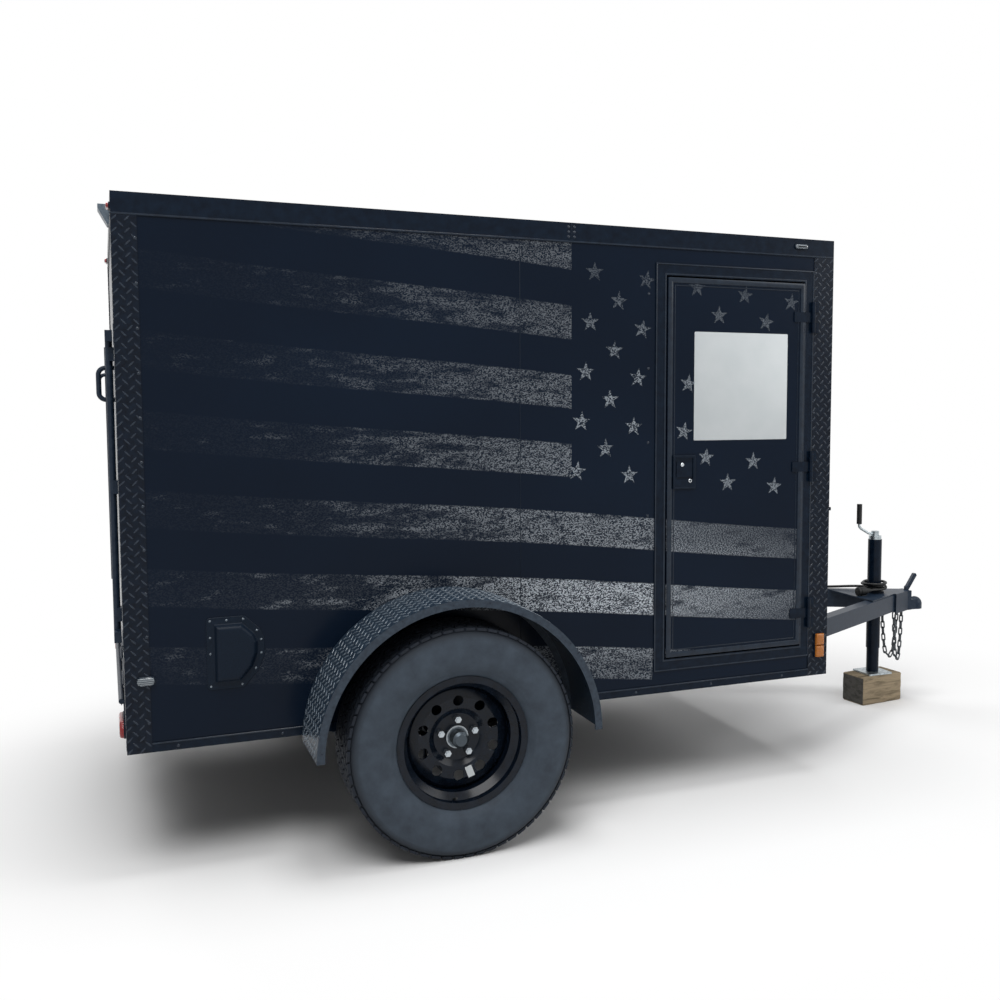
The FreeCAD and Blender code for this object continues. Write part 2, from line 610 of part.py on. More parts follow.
def fender(name, sign):
    """Half-round sheet with a rolled outer lip and a flange along the body side."""
    side = "%s + fender_wide" % HALF
    outer = side if sign > 0 else "-" + HALF

    def arc(radius, start, wide, angle="180"):
        return rod((AXLE, start, "tyre_radius"), radius, wide, ALONG_MINUS_Y, angle)
    sheet = cut(arc("fender_radius", outer, "fender_wide"),
                arc("fender_radius - fender_sheet", outer + " + 1", "fender_wide + 2", "360"))
    lip_at = outer if sign > 0 else "-(%s) + fender_lip_wide" % side
    lip = cut(arc("fender_radius", lip_at, "fender_lip_wide"),
              arc("fender_radius - fender_lip", lip_at + " + 1", "fender_lip_wide + 2", "360"))
    root_at = "%s + fender_sheet" % HALF if sign > 0 else "-" + HALF
    root = cut(arc("fender_radius", root_at, "fender_sheet"),
               arc("fender_radius - fender_lip", root_at + " + 1", "fender_sheet + 2", "360"))
    node("fender_" + name, fused(sheet, lip, root))


# ---------------------------------------------------------------- doors
def side_door():
    """Door on the right with its frame, latch and three hinges, hung at its front edge."""
    low, tall = "door_low", "door_high - door_low"
    long = "door_front - door_rear"
    slab = side_box(-1, REAR + " + door_rear", SKINNED + " - door_thick", low, long,
                    "door_thick + skin", tall)
    node("side_door", slab)
    ring = side_box(-1, REAR + " + door_rear - door_frame - panel_gap", SKINNED,
                    "door_low - door_frame - panel_gap", long + " + 2 * panel_gap + 2 * door_frame - 8",
                    "skin", tall + " + 2 * panel_gap + 2 * door_frame")
    hole = side_box(-1, REAR + " + door_rear - panel_gap", SKINNED + " - 1",
                    "door_low - panel_gap", long + " + 2 * panel_gap", "skin + 2",
                    tall + " + 2 * panel_gap")
    node("side_door_frame", cut(ring, hole))
    latch = side_box(-1, REAR + " + latch_rear", HALF, "latch_low", "latch_wide", "latch_out",
                     "latch_tall")
    dish = side_box(-1, REAR + " + latch_rear + 10", HALF + " + 2", "latch_low + 34",
                    "latch_wide - 20", "latch_out", "latch_tall - 44")
    paddle = side_box(-1, REAR + " + latch_rear + 14", HALF + " + 1", "latch_low + 42",
                      "latch_wide - 28", "latch_out - 2", "latch_tall - 66")
    node("side_door_latch", fused(cut(latch, dish), paddle))
    pin_x = "%s + door_front + door_hinge_ahead" % REAR
    pin_y = "(%s + door_hinge_out)" % HALF
    moving, fixed = [], []
    for place in ("0.08", "0.49", "0.9"):
        z = "door_low + (door_high - door_low) * %s - hinge_tall / 2 + 12" % place
        third = "hinge_tall / 3"
        knuckle = rod((pin_x, "-" + pin_y, "%s + %s + 0.4" % (z, third)), "door_pin", third + " - 0.8")
        strap = side_box(-1, REAR + " + door_front - 46", HALF + " + 0.5", "%s + %s + 0.4" % (z, third),
                         "door_hinge_ahead + 46", "4", third + " - 0.8")
        web = side_box(-1, pin_x + " - 6", HALF + " + 0.5", "%s + %s + 0.4" % (z, third), "6",
                       "door_hinge_out - 0.5", third + " - 0.8")
        pin_hole = rod((pin_x, "-" + pin_y, z), "3.2", "hinge_tall")
        moving.append(cut(fused(knuckle, strap, web), pin_hole))
        ends = []
        for lift in ("0", "2 * hinge_tall / 3"):
            ends.append(rod((pin_x, "-" + pin_y, "%s + %s" % (z, lift)), "door_pin", third))
            ends.append(side_box(-1, pin_x, HALF, "%s + %s" % (z, lift), "26", "4", third))
            ends.append(side_box(-1, pin_x, HALF, "%s + %s" % (z, lift), "6", "door_hinge_out", third))
        pin = rod((pin_x, "-" + pin_y, z), "3", "hinge_tall")
        fixed.append(fused(pin, *ends))
    node("door_hinge_straps", together(*moving))
    node("door_hinge_pins", together(*fixed))


def ramp_door():
    """Rear ramp, hinged along the floor line, with two bar locks, a handle and its hinge."""
    clear = "(%s - rear_post - panel_gap)" % HALF
    slab = middle_box(REAR + " + skin", "ramp_low", "ramp_thick", "2 * " + clear,
                      "ramp_high - ramp_low")
    node("ramp_door", slab)
    axis_x = "%s - ramp_hinge_out" % REAR
    knuckles, pins = [], []
    run = "(2 * %s - 40)" % clear
    for index in range(7):
        y0 = "-%s / 2 + %d * %s / 7" % (run, index, run)
        reach = "%s / 7 - 1" % run
        barrel = rod((axis_x, "%s + %s" % (y0, reach), "ramp_hinge_up"), "ramp_pin", reach, ALONG_MINUS_Y)
        if index % 2:
            leaf = box(axis_x + " + 3", y0, "ramp_hinge_up + 2", "ramp_hinge_out - 3 + skin - 0.2",
                       reach, "4")
            up = box(REAR + " - 1", y0, "ramp_hinge_up + 2", "skin + 1", reach, "46")
            bore = rod((axis_x, "%s + %s + 1" % (y0, reach), "ramp_hinge_up"), "4.2", reach + " + 2",
                       ALONG_MINUS_Y)
            knuckles.append(cut(fused(barrel, leaf, up), bore))
        else:
            leaf = box(axis_x, y0, "ramp_hinge_up - 8", "ramp_hinge_out", reach, "4")
            down = box(REAR + " - 4", y0, "ramp_hinge_up - 50", "4", reach, "46")
            pins.extend([barrel, leaf, down])
    pins.append(rod((axis_x, run + " / 2 - 1", "ramp_hinge_up"), "4", run + " - 1", ALONG_MINUS_Y))
    node("ramp_hinge_leaves", together(*knuckles))
    node("ramp_hinge_pin", fused(*pins))
    locks, keepers = [], []
    rod_x = "%s - lock_out" % REAR
    for _, sign in SIDES:
        flip = "" if sign > 0 else "-"
        parts = [rod((rod_x, flip + "lock_place", "lock_low"), "lock_rod", "lock_high - lock_low")]
        for place in ("lock_low + 60", "(lock_low + lock_high) / 2 - 20", "lock_high - 90"):
            parts.append(side_box(sign, rod_x, "lock_place - 22", place, "lock_out + skin", "44", "40"))
        for place in ("lock_low + 2", "lock_high - 34"):
            parts.append(side_box(sign, rod_x + " - 10", "lock_place", place, "20", "52", "32"))
            keepers.append(side_box(sign, rod_x + " + 12", HALF + " - rear_post + 6", place + " - 14",
                                    "lock_out - 12", "46", "60"))
        locks.append(fused(*parts))
    node("bar_locks", together(*locks))
    node("lock_keepers", together(*keepers))
    handles = []
    for _, sign in SIDES:
        y = sign * number("lock_place - 40")
        skin_x, grip_x = number(REAR + " + skin"), number(REAR + " - handle_reach + handle_rod")
        low, high = (number("handle_low + " + up) for up in ("handle_rod", "handle_tall - handle_rod"))
        route = [V(skin_x, y, low), V(grip_x, y, low), V(grip_x, y, high), V(skin_x, y, high)]
        handles.append(shaped(round_path(route, size("handle_rod"), [size("handle_bend")] * 2)))
    node("pull_handles", together(*handles))


# ---------------------------------------------------------------- vents, lamps, plate
def vents_and_lamps():
    """Pieces fixed to the outside of the shell."""
    high, ahead = "vent_low + vent_tall", "vent_rear + vent_long"
    outline = [("vent_rear", high), (ahead + " - vent_round", high),
               (ahead + " - vent_round / 4", high + " - vent_round * 0.72"),
               (ahead, high + " - vent_round * 1.28"), (ahead, "vent_low + vent_round * 1.74"),
               (ahead + " - vent_round * 0.32", "vent_low + vent_round * 0.88"),
               (ahead + " - vent_round * 1.09", "vent_low"), ("vent_rear", "vent_low")]
    vents = []
    for _, sign in SIDES:
        y = "%s + side_vent_out" % SKINNED if sign > 0 else "-" + SKINNED
        vents.append(padded(outline, "side_vent_out", (REAR, y, "0"), ALONG_MINUS_Y))
    node("side_vents", together(*vents))
    amber, clear, red = [], [], []
    for _, sign in SIDES:
        amber.append(side_box(sign, REAR + " + amber_place", HALF, "amber_low", "amber_long",
                              "lamp_out", "amber_tall"))
        clear.append(side_box(sign, REAR + " + clear_place", HALF, "clear_low", "clear_long",
                              "lamp_rise", "clear_tall"))
        clear.append(side_box(sign, REAR + " + band_lamp_place", HALF, "band_lamp_low",
                              "band_lamp_long", "lamp_rise", "band_lamp_tall"))
        red.append(side_box(sign, REAR + " - lamp_out", "tail_place", "deck_base - rail_tall + 2",
                            "lamp_out", "tail_long", "tail_tall"))
        red.append(side_box(sign, REAR + " - lamp_rise", HALF + " - header_lamp_in",
                            ROOF + " - header_lamp_drop", "lamp_rise", "header_lamp_long",
                            "band_lamp_tall"))
    node("amber_markers", together(*amber))
    node("clear_markers", together(*clear))
    node("tail_lamps", together(*red))
    wedge = padded([("0", "0"), ("0", "load_lamp_tall"), ("-load_lamp_out", "load_lamp_tall"),
                    ("-load_lamp_out", "load_lamp_tall * 0.8"), ("-load_lamp_out / 5", "0")],
                   "load_lamp_long", (REAR, "-load_lamp_from", ROOF + " - load_lamp_tall - 4"),
                   ALONG_MINUS_Y)
    node("loading_lamp", wedge)
    plate = box(REAR + " - 2 * plate_sheet", "plate_place - plate_long / 2",
                "deck_base - plate_drop - plate_tall", "plate_sheet", "plate_long", "plate_tall")
    tab = box(REAR + " - plate_sheet", "plate_place - plate_drop", "deck_base - rail_tall + 1.6",
              "plate_sheet", "2 * plate_drop", "34")
    holes = []
    for dy in ("-plate_hole_long / 2", "plate_hole_long / 2"):
        for dz in ("-plate_hole_tall / 2", "plate_hole_tall / 2"):
            middle = "deck_base - plate_drop - plate_tall / 2 + (%s)" % dz
            holes.append(rod((REAR + " - 3 * plate_sheet", "plate_place + (%s)" % dy, middle),
                             "plate_hole_radius", "3 * plate_sheet", ALONG_X))
    node("plate_bracket", cut(fused(plate, tab), fused(*holes)))


# ---------------------------------------------------------------- chains and light cable
def link(centre, along, across):
    """One chain link: a rounded oval of round bar."""
    half = size("link_long") / 2 - size("link_rod") - size("link_half")
    radius = size("link_half")
    a, b = along * half, across * radius
    tip = along * (half + radius)
    p = [centre + a + b, centre + a - b, centre - a - b, centre - a + b]
    wire = Part.Wire([Part.makeLine(p[3], p[0]), Part.Arc(p[0], centre + tip, p[1]).toShape(),
                      Part.makeLine(p[1], p[2]), Part.Arc(p[2], centre - tip, p[3]).toShape()])
    ring = Part.Wire([Part.makeCircle(size("link_rod"), p[3], along)])
    return wire.makePipeShell([ring], True, True)


def chain(sign):
    """Links along a hanging curve from the rail's end back to the far side of the jack."""
    height = number("deck_base - tongue_tall - 2 * link_rod + 0.3")
    start = V(number(JACK + " + 150"), sign * 16, height)
    end = V(number(JACK + " + 84"), sign * 44, height)
    low = 235
    pitch = size("link_long") - 4 * size("link_rod") - 0.6
    samples = []
    for index in range(401):
        t = index / 400
        drop = low * (1 - abs(2 * t - 1) ** 3)
        samples.append(start + (end - start) * t - V(0, 0, drop))
    made = []
    points = [samples[0]]
    for sample in samples:
        if (sample - points[-1]).Length >= pitch:
            points.append(sample)
    for index in range(len(points) - 1):
        along = (points[index + 1] - points[index]).normalize()
        side = along.cross(V(0.25, 1, 0)).normalize()
        across = side if index % 2 else along.cross(side).normalize()
        middle = (points[index] + points[index + 1]) / 2
        made.append(link(middle, along, across))
    return made


def safety_chains():
    links = []
    for _, sign in SIDES:
        links.extend(chain(sign))
    node("safety_chains", shaped(Part.makeCompound(links)))


# Ahead of the front wall, left of the centreline, and above the floor.
CABLE_ROUTE = [(25, 505, 520), (75, 490, 518), (140, 452, 514), (220, 404, 512), (320, 348, 511.8),
               (425, 291, 511.6), (530, 238, 511.8), (600, 206, 514.5), (655, 180, 519),
               (705, 153, 520.5), (748, 125, 524), (785, 95, 527), (820, 60, 530)]


def cable():
    """Trailer light cable: gland in the front wall, run along the rail, coil round the jack, plug."""
    front, up = number(FRONT), size("deck_base") - 505
    points = [V(front + x, y, z + up) for x, y, z in CABLE_ROUTE]
    bends = []
    for index in range(1, len(points) - 1):
        before, after = points[index - 1] - points[index], points[index + 1] - points[index]
        turn = math.pi - before.getAngle(after)
        shorter = min(before.Length, after.Length)
        bends.append(0.45 * shorter / math.tan(turn / 2))
    print("cable bend radii", [round(bend) for bend in bends])
    node("light_cable", shaped(round_path(points, size("cable_radius"), bends)))
    node("cable_gland", rod((FRONT, "505", "deck_base + 15"), "gland_radius",
                            "gland_long", ALONG_X))
    coil_z = PLATE_TOP + " + flange_thick + coupler_fit"
    node("cable_coil", cut(rod((JACK, "0", coil_z), "coil_radius", "coil_tall"),
                           rod((JACK, "0", coil_z + " - 1"), "jack_radius + coupler_fit", "coil_tall + 2")))
    plug_end = JACK + " - coil_radius - 1 - plug_long"
    node("cable_plug", rod((plug_end, "-plug_aside", PLATE_TOP + " + plug_radius + 0.3"),
                           "plug_radius", "plug_long", ALONG_X))


floor_frame()
shell()
rear_frame()
trims()
tongue()
coupler()
jack()
axle()
suspension()
for side_name, side_sign in SIDES:
    wheel(side_name, side_sign)
    fender(side_name, side_sign)
side_door()
ramp_door()
vents_and_lamps()
safety_chains()
cable()

DOC.recompute()
FAILED = [item.Label for item in DOC.Objects if "Invalid" in item.State or "Error" in item.State]
FAILED += [item.Label for item in NODES if item.Shape.isNull() or not item.Shape.isValid()]
if FAILED:
    raise RuntimeError("these objects did not build: %s" % ", ".join(FAILED))
os.makedirs("parts", exist_ok=True)
for item in NODES:
    item.Shape.exportStep("parts/%s.step" % item.Label)
    extent = item.Shape.BoundBox
    print("%-20s solids %2d  x %8.1f %8.1f  y %8.1f %8.1f  z %7.1f %7.1f" % (
        item.Label, len(item.Shape.Solids), extent.XMin, extent.XMax, extent.YMin, extent.YMax,
        extent.ZMin, extent.ZMax))
print("nodes", len(NODES))
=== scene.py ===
# %% [markdown]
# # An enclosed cargo trailer, five feet by eight
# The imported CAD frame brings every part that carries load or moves.  This lesson dresses it: each
# finish is built from nodes, and each small pressing, rivet and lamp is a surface worked out with numpy.

import bmesh
import bpy
import numpy as np
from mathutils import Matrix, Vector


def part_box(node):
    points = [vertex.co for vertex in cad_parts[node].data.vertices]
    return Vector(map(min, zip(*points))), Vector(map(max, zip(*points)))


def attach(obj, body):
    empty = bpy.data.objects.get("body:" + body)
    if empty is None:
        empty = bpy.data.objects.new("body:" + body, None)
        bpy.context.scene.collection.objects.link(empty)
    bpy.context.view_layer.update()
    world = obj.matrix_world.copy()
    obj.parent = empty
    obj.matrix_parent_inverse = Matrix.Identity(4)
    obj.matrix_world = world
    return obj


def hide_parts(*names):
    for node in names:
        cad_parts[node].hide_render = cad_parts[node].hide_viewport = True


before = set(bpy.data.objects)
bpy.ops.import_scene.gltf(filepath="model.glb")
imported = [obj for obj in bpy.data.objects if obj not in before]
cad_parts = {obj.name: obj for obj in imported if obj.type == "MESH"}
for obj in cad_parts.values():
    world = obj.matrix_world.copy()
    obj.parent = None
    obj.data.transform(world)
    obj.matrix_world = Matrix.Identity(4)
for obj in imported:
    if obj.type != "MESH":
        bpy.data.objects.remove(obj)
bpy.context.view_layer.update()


def corners(node):
    """Lowest and highest corner of a CAD node, as arrays, in metres."""
    low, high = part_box(node)
    return np.array(low), np.array(high)


def present(name, data):
    """A new object of some data, linked to the scene."""
    thing = bpy.data.objects.new(name, data)
    bpy.context.scene.collection.objects.link(thing)
    return thing


post_low, post_high = corners("corner_posts")
band_low, band_high = corners("roof_band")
door_low, door_high = corners("side_door")
tyre_low, tyre_high = corners("tyre_right")
REAR, FRONT = post_low[0], post_high[0]
HALF = post_high[1]
SIDES = (("right", -1), ("left", 1))
BASE, TOP = post_low[2], band_high[2]
AXLE = (tyre_low[0] + tyre_high[0]) / 2
TYRE_RADIUS = (tyre_high[0] - tyre_low[0]) / 2
JACK = float(sum(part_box("jack_tube")[i][0] for i in (0, 1)) / 2)
print("body from", round(REAR, 3), "to", round(FRONT, 3), "half width", round(HALF, 3))

# %% [markdown]
# The camera stands to the right of the trailer, a little behind its middle and at standing eye
# height.  Its lens is a short portrait one, and a small sideways shift keeps the uprights parallel.

# %% Camera
CAMERA_PLACE = (-1.7686, -4.2017, 1.4153)
CAMERA_YAW, CAMERA_PITCH, CAMERA_ROLL = 0.414, 0.079, -0.002
camera_data = bpy.data.cameras.new("camera")
camera = present("camera", camera_data)
camera.location = CAMERA_PLACE
camera.rotation_mode = "XYZ"
camera.rotation_euler = (np.pi / 2 - CAMERA_PITCH, CAMERA_ROLL, -CAMERA_YAW)
camera_data.sensor_width = 36
camera_data.lens = 40.12
camera_data.shift_x, camera_data.shift_y = -0.0939, -0.0139
bpy.context.scene.camera = camera

# %% [markdown]
# A studio for a dark glossy object: large soft lamps above and in front, and a pale floor.  The
# floor is plain diffuse near the trailer, so it keeps the shadow, and fades into white further out.

# %% Colour and node helpers
def linear(code):
    """sRGB hex to linear: ((c + 0.055) / 1.055) ** 2.4 above 0.04045, and c / 12.92 below."""
    share = np.array([int(code[i:i + 2], 16) for i in (1, 3, 5)]) / 255
    line = np.where(share > 0.04045, ((share + 0.055) / 1.055) ** 2.4, share / 12.92)
    return (*line.tolist(), 1.0)


def add(tree, kind, inputs=None, **settings):
    """Adds one shader node by the name of its kind: settings are its properties, and inputs gives each
    socket a value, or the output that feeds it, or a node, whose first output feeds it."""
    node = tree.nodes.new("ShaderNode" + kind)
    for name, value in settings.items():
        setattr(node, name, value)
    for name, value in (inputs or {}).items():
        value = value.outputs[0] if isinstance(value, bpy.types.Node) else value
        if isinstance(value, bpy.types.NodeSocket):
            tree.links.new(value, node.inputs[name])
        else:
            node.inputs[name].default_value = value
    return node


def finish(name, **sockets):
    """A new material with its Principled shader, whose sockets are set by name (spaces written as _)."""
    material = bpy.data.materials.new(name)
    material.use_nodes = True
    shader = material.node_tree.nodes["Principled BSDF"]
    for key, value in sockets.items():
        shader.inputs[key.replace("_", " ")].default_value = value
    return material, material.node_tree, shader


def place(tree, scale=(1, 1, 1), turn=(0, 0, 0)):
    """Object coordinates through a Mapping node."""
    where = add(tree, "TexCoord")
    return add(tree, "Mapping", {"Vector": where.outputs["Object"], "Scale": scale, "Rotation": turn})


def roughen(tree, shader, source, low, high, height, distance=0.001):
    """Lets one pattern drive the roughness between two values and a bump of a given height."""
    spread = add(tree, "MapRange", {"Value": source, "To Min": low, "To Max": high})
    tree.links.new(spread.outputs["Result"], shader.inputs["Roughness"])
    bump = add(tree, "Bump", {"Height": source, "Strength": height, "Distance": distance})
    tree.links.new(bump.outputs["Normal"], shader.inputs["Normal"])
    return bump


def tint(tree, shader, source, stops, socket="Base Color"):
    """Colours a surface by one pattern through a ramp of (position, hex) stops."""
    ramp = add(tree, "ValToRGB", {"Fac": source})
    while len(ramp.color_ramp.elements) < len(stops):
        ramp.color_ramp.elements.new(0.5)
    for element, (position, code) in zip(ramp.color_ramp.elements, stops):
        element.position = position
        element.color = linear(code)
    tree.links.new(ramp.outputs["Color"], shader.inputs[socket])
    return ramp


def overlay(tree, share, code):
    """Mixes a flat colour over a finish's own, by a share from nothing to all."""
    socket = tree.nodes["Principled BSDF"].inputs["Base Color"]
    under = socket.links[0].from_socket
    both = add(tree, "Mix", {"Factor": share, "A": under, "B": linear(code)}, data_type="RGBA")
    tree.links.new(both.outputs["Result"], socket)


def about_axle(tree):
    """Places measured from the middle of the axle, seen from the side, and their distance from it."""
    where = add(tree, "TexCoord").outputs["Object"]
    centred = add(tree, "Mapping", {"Vector": where, "Location": (-AXLE, 0, -TYRE_RADIUS),
                                    "Scale": (1, 0, 1)})
    return centred, add(tree, "VectorMath", {0: centred}, operation="LENGTH").outputs["Value"]


# %% Floor, world and lamps
FLOOR_HALF = 14.0
floor_mesh = bpy.data.meshes.new("floor")
floor_mesh.from_pydata([(-FLOOR_HALF, -FLOOR_HALF, 0), (FLOOR_HALF, -FLOOR_HALF, 0),
                        (FLOOR_HALF, FLOOR_HALF, 0), (-FLOOR_HALF, FLOOR_HALF, 0)], [], [(0, 1, 2, 3)])
floor = present("floor", floor_mesh)
floor_paint, tree, shader = finish("studio_floor", Roughness=0.9, Specular_IOR_Level=0.1)
shader.inputs["Base Color"].default_value = linear("#F4F4F4")
flat = add(tree, "TexCoord")
oval = add(tree, "Mapping", {"Vector": flat.outputs["Object"], "Scale": (0.34, 0.46, 1)})
reach = add(tree, "VectorMath", {0: oval}, operation="LENGTH")
fade = add(tree, "MapRange", {"Value": reach.outputs["Value"], "From Min": 0.55, "From Max": 1.0},
           interpolation_type="SMOOTHSTEP")
path = add(tree, "LightPath")
seen = add(tree, "Math", {0: path.outputs["Is Camera Ray"], 1: path.outputs["Is Glossy Ray"]},
           operation="MAXIMUM")
seen = add(tree, "Math", {0: seen, 1: path.outputs["Is Transmission Ray"]},
           operation="MAXIMUM")
share = add(tree, "Math", {0: fade, 1: seen}, operation="MULTIPLY")
glow = add(tree, "Emission", {"Color": (1, 1, 1, 1), "Strength": 1.0})
mixed = add(tree, "MixShader", {0: share, 1: shader, 2: glow})
tree.links.new(mixed.outputs[0], tree.nodes["Material Output"].inputs["Surface"])
floor_mesh.materials.append(floor_paint)

world = bpy.data.worlds.new("studio")
bpy.context.scene.world = world
world.use_nodes = True
tree = world.node_tree
path = add(tree, "LightPath")
seen = add(tree, "Math", {0: path.outputs["Is Camera Ray"], 1: path.outputs["Is Transmission Ray"]},
           operation="MAXIMUM")
shine = add(tree, "Math", {0: path.outputs["Is Glossy Ray"], 1: 0.9}, operation="MULTIPLY")
seen = add(tree, "Math", {0: seen, 1: shine}, operation="MAXIMUM")
dome = add(tree, "Background", {"Color": (1, 1, 1, 1), "Strength": 0.18})
white = add(tree, "Background", {"Color": (1, 1, 1, 1), "Strength": 1.0})
both = add(tree, "MixShader", {0: seen, 1: dome, 2: white})
tree.links.new(both.outputs[0], tree.nodes["World Output"].inputs["Surface"])


def lamp(name, where, aim, size, power):
    """A square area lamp at a place, turned to face a point."""
    data = bpy.data.lights.new(name, "AREA")
    data.size, data.energy = size, power
    lit = present(name, data)
    lit.location = where
    way = np.array(where) - np.array(aim)
    lit.rotation_euler = (np.arctan2(np.hypot(way[0], way[1]), way[2]), 0, np.arctan2(way[0], -way[1]))
    return lit


lamp("key", (-2.5, -4.0, 6.5), (0, 0, 0.8), 4.0, 300)
lamp("fill", (5.0, -3.5, 4.0), (0.5, 0, 0.8), 4.0, 120)
lamp("back", (-2.0, 5.0, 5.5), (0, 0, 0.8), 4.0, 150)
lamp("top", (0.0, -0.6, 8.0), (0.0, -0.6, 0.0), 3.0, 260)
bpy.context.scene.view_settings.view_transform = "Standard"
print("studio with", len(bpy.data.lights), "lamps")

# %% [markdown]
# ## Making surfaces
# Each new part is a grid of points or an outline lifted along a profile.  The helpers below join
# such grids into one mesh, shade it, and tell the frame what it rides on.

# %% Surface helpers
# Each outside face of the body has a level direction and an upward direction.
FACES = {face: np.array([across, (0, 0, 1)], float)
         for face, across in (("right", (1, 0, 0)), ("left", (-1, 0, 0)),
                              ("front", (0, 1, 0)), ("rear", (0, -1, 0)))}


def grid_faces(rows, columns, wrap_rows=False):
    """Four-sided faces of a grid whose columns close on themselves: (i, j) to (i, j+1) to (i+1, j+1)
    to (i+1, j)."""
    i, j = np.meshgrid(np.arange(rows if wrap_rows else rows - 1), np.arange(columns), indexing="ij")
    i2, j2 = (i + 1) % rows, (j + 1) % columns
    round_face = [i * columns + j, i * columns + j2, i2 * columns + j2, i2 * columns + j]
    return np.stack(round_face, -1).reshape(-1, 4)


def loft(rings, ring=False):
    """A part from stacked closed rings of points; its two ends are capped, or joined to each other."""
    rows, columns = rings.shape[:2]
    faces = [grid_faces(rows, columns, ring)]
    if not ring:
        faces += [np.arange(columns)[None, ::-1], np.arange(columns)[None] + (rows - 1) * columns]
    return rings.reshape(-1, 3), faces


def spun(profile, centre, axis, count=48, ring=False):
    """A profile of (radius, distance along the axis) turned once: centre + r cos(t) u + r sin(t) v + a w."""
    profile, w = np.asarray(profile, float), np.asarray(axis, float)
    u = np.cross(w, (0.0, 0.0, 1.0)) if abs(w[2]) < 0.9 else np.array([1.0, 0.0, 0.0])
    u, v = u / np.linalg.norm(u), np.cross(w, u / np.linalg.norm(u))
    t = np.linspace(0, 2 * np.pi, count, endpoint=False)[None, :, None]
    r, a = profile[:, :1, None], profile[:, 1:, None]
    return loft(np.asarray(centre) + r * np.cos(t) * u + r * np.sin(t) * v + a * w, ring)


def rounded(points, radius, inset=0.0, count=6):
    """A convex outline, counterclockwise, moved inwards by inset, with each corner C eased by the parabola
    (1-s)^2 A + 2s(1-s) C + s^2 B between points A and B on its two edges."""
    p = np.asarray(points, float)
    ahead = np.roll(p, -1, 0) - p
    ahead = ahead / np.linalg.norm(ahead, axis=1)[:, None]
    behind = np.roll(ahead, 1, 0)
    n0 = np.stack([-behind[:, 1], behind[:, 0]], 1)
    n1 = np.stack([-ahead[:, 1], ahead[:, 0]], 1)
    same = (n0 * n1).sum(1)[:, None]
    corner = p + inset * (n0 + n1) / (1 + same)
    back = max(radius - inset, 0.0003) * np.tan(np.arccos(np.clip(same, -1, 1)) / 2)
    s = np.linspace(0, 1, count)[None, :, None]
    a, b = (corner - behind * back)[:, None], (corner + ahead * back)[:, None]
    return ((1 - s) ** 2 * a + 2 * s * (1 - s) * corner[:, None] + s ** 2 * b).reshape(-1, 2)


def oblong(wide, tall):
    """Corners of a rectangle about the origin."""
    return np.array([(-wide, -tall), (wide, -tall), (wide, tall), (-wide, tall)]) / 2


def raised(points, radius, profile, at, face, ring=False, count=6):
    """An outline lifted off a face: each (inset, height) of the profile gives one ring of the part."""
    across, up = FACES[face] if isinstance(face, str) else face
    out = np.cross(across, up)
    rings = [np.asarray(at) + flat[:, :1] * across + flat[:, 1:] * up + height * out
             for inset, height in profile for flat in [rounded(points, radius, inset, count)]]
    return loft(np.array(rings), ring)


def scatter(part, places, across, up):
    """Copies of a small part: each point becomes place + x across + y up + z out, with out = across x up."""
    points, faces = part
    places, across, up = (np.atleast_2d(np.asarray(d, float)) for d in (places, across, up))
    out = np.cross(across, up)
    moved = (places[:, None] + points[None, :, :1] * across[:, None] + points[None, :, 1:2] * up[:, None]
             + points[None, :, 2:] * out[:, None])
    step = len(points) * np.arange(len(places))[:, None, None]
    return moved.reshape(-1, 3), [(f[None] + step).reshape(-1, f.shape[1]) for f in faces]


def dome(radius, tall, count=8):
    """A rivet head: rings whose radius falls as the cosine of the height's share."""
    rise = np.array([-0.2, 0.25, 0.7, 0.97])
    return spun(np.stack([radius * np.sqrt(1 - np.clip(rise, 0, 1) ** 2 * 0.93), rise * tall], 1),
                (0, 0, 0), (0, 0, 1), count)


def tube(path, radius, count=12):
    """A round bar along a path: rings of radius r square to the path's direction, carried without twist."""
    path = np.asarray(path, float)
    way = np.gradient(path, axis=0)
    way /= np.linalg.norm(way, axis=1)[:, None]
    side = np.cross(way, np.array([0.0, 0.0, 1.0]) if abs(way[0][2]) < 0.9 else np.array([0.0, 1.0, 0.0]))
    side /= np.linalg.norm(side, axis=1)[:, None]
    over = np.cross(way, side)
    t = np.linspace(0, 2 * np.pi, count, endpoint=False)[None, :, None]
    return loft(path[:, None] + radius * (np.cos(t) * side[:, None] + np.sin(t) * over[:, None]))


def smoothed(points, rounds=2):
    """An open line eased by cutting each corner at a quarter and three quarters of its edges, ends kept."""
    line = np.asarray(points, float)
    for _ in range(rounds):
        cuts = np.stack([0.75 * line[:-1] + 0.25 * line[1:], 0.25 * line[:-1] + 0.75 * line[1:]], 1)
        line = np.concatenate([line[:1], cuts.reshape(-1, line.shape[1]), line[-1:]])
    return line


def piece(name, parts, material, body="trailer", replaces=(), sharp=35):
    """One object from several parts: points and faces joined, normals pointed outwards, edges above the
    sharp angle kept crisp."""
    faces, start = [], 0
    for points, groups in parts:
        for group in groups:
            faces += (group + start).tolist()
        start += len(points)
    mesh = bpy.data.meshes.new(name)
    mesh.from_pydata(np.concatenate([p for p, _ in parts]).tolist(), [], faces)
    shell = bmesh.new()
    shell.from_mesh(mesh)
    bmesh.ops.recalc_face_normals(shell, faces=shell.faces)
    shell.to_mesh(mesh)
    shell.free()
    mesh.shade_smooth()
    mesh.set_sharp_from_angle(angle=np.radians(sharp))
    mesh.materials.append(material)
    thing = present(name, mesh)
    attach(thing, body)
    if replaces:
        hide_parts(*replaces)
    print(name, "rides on", body, "with", len(mesh.polygons), "faces")
    return thing


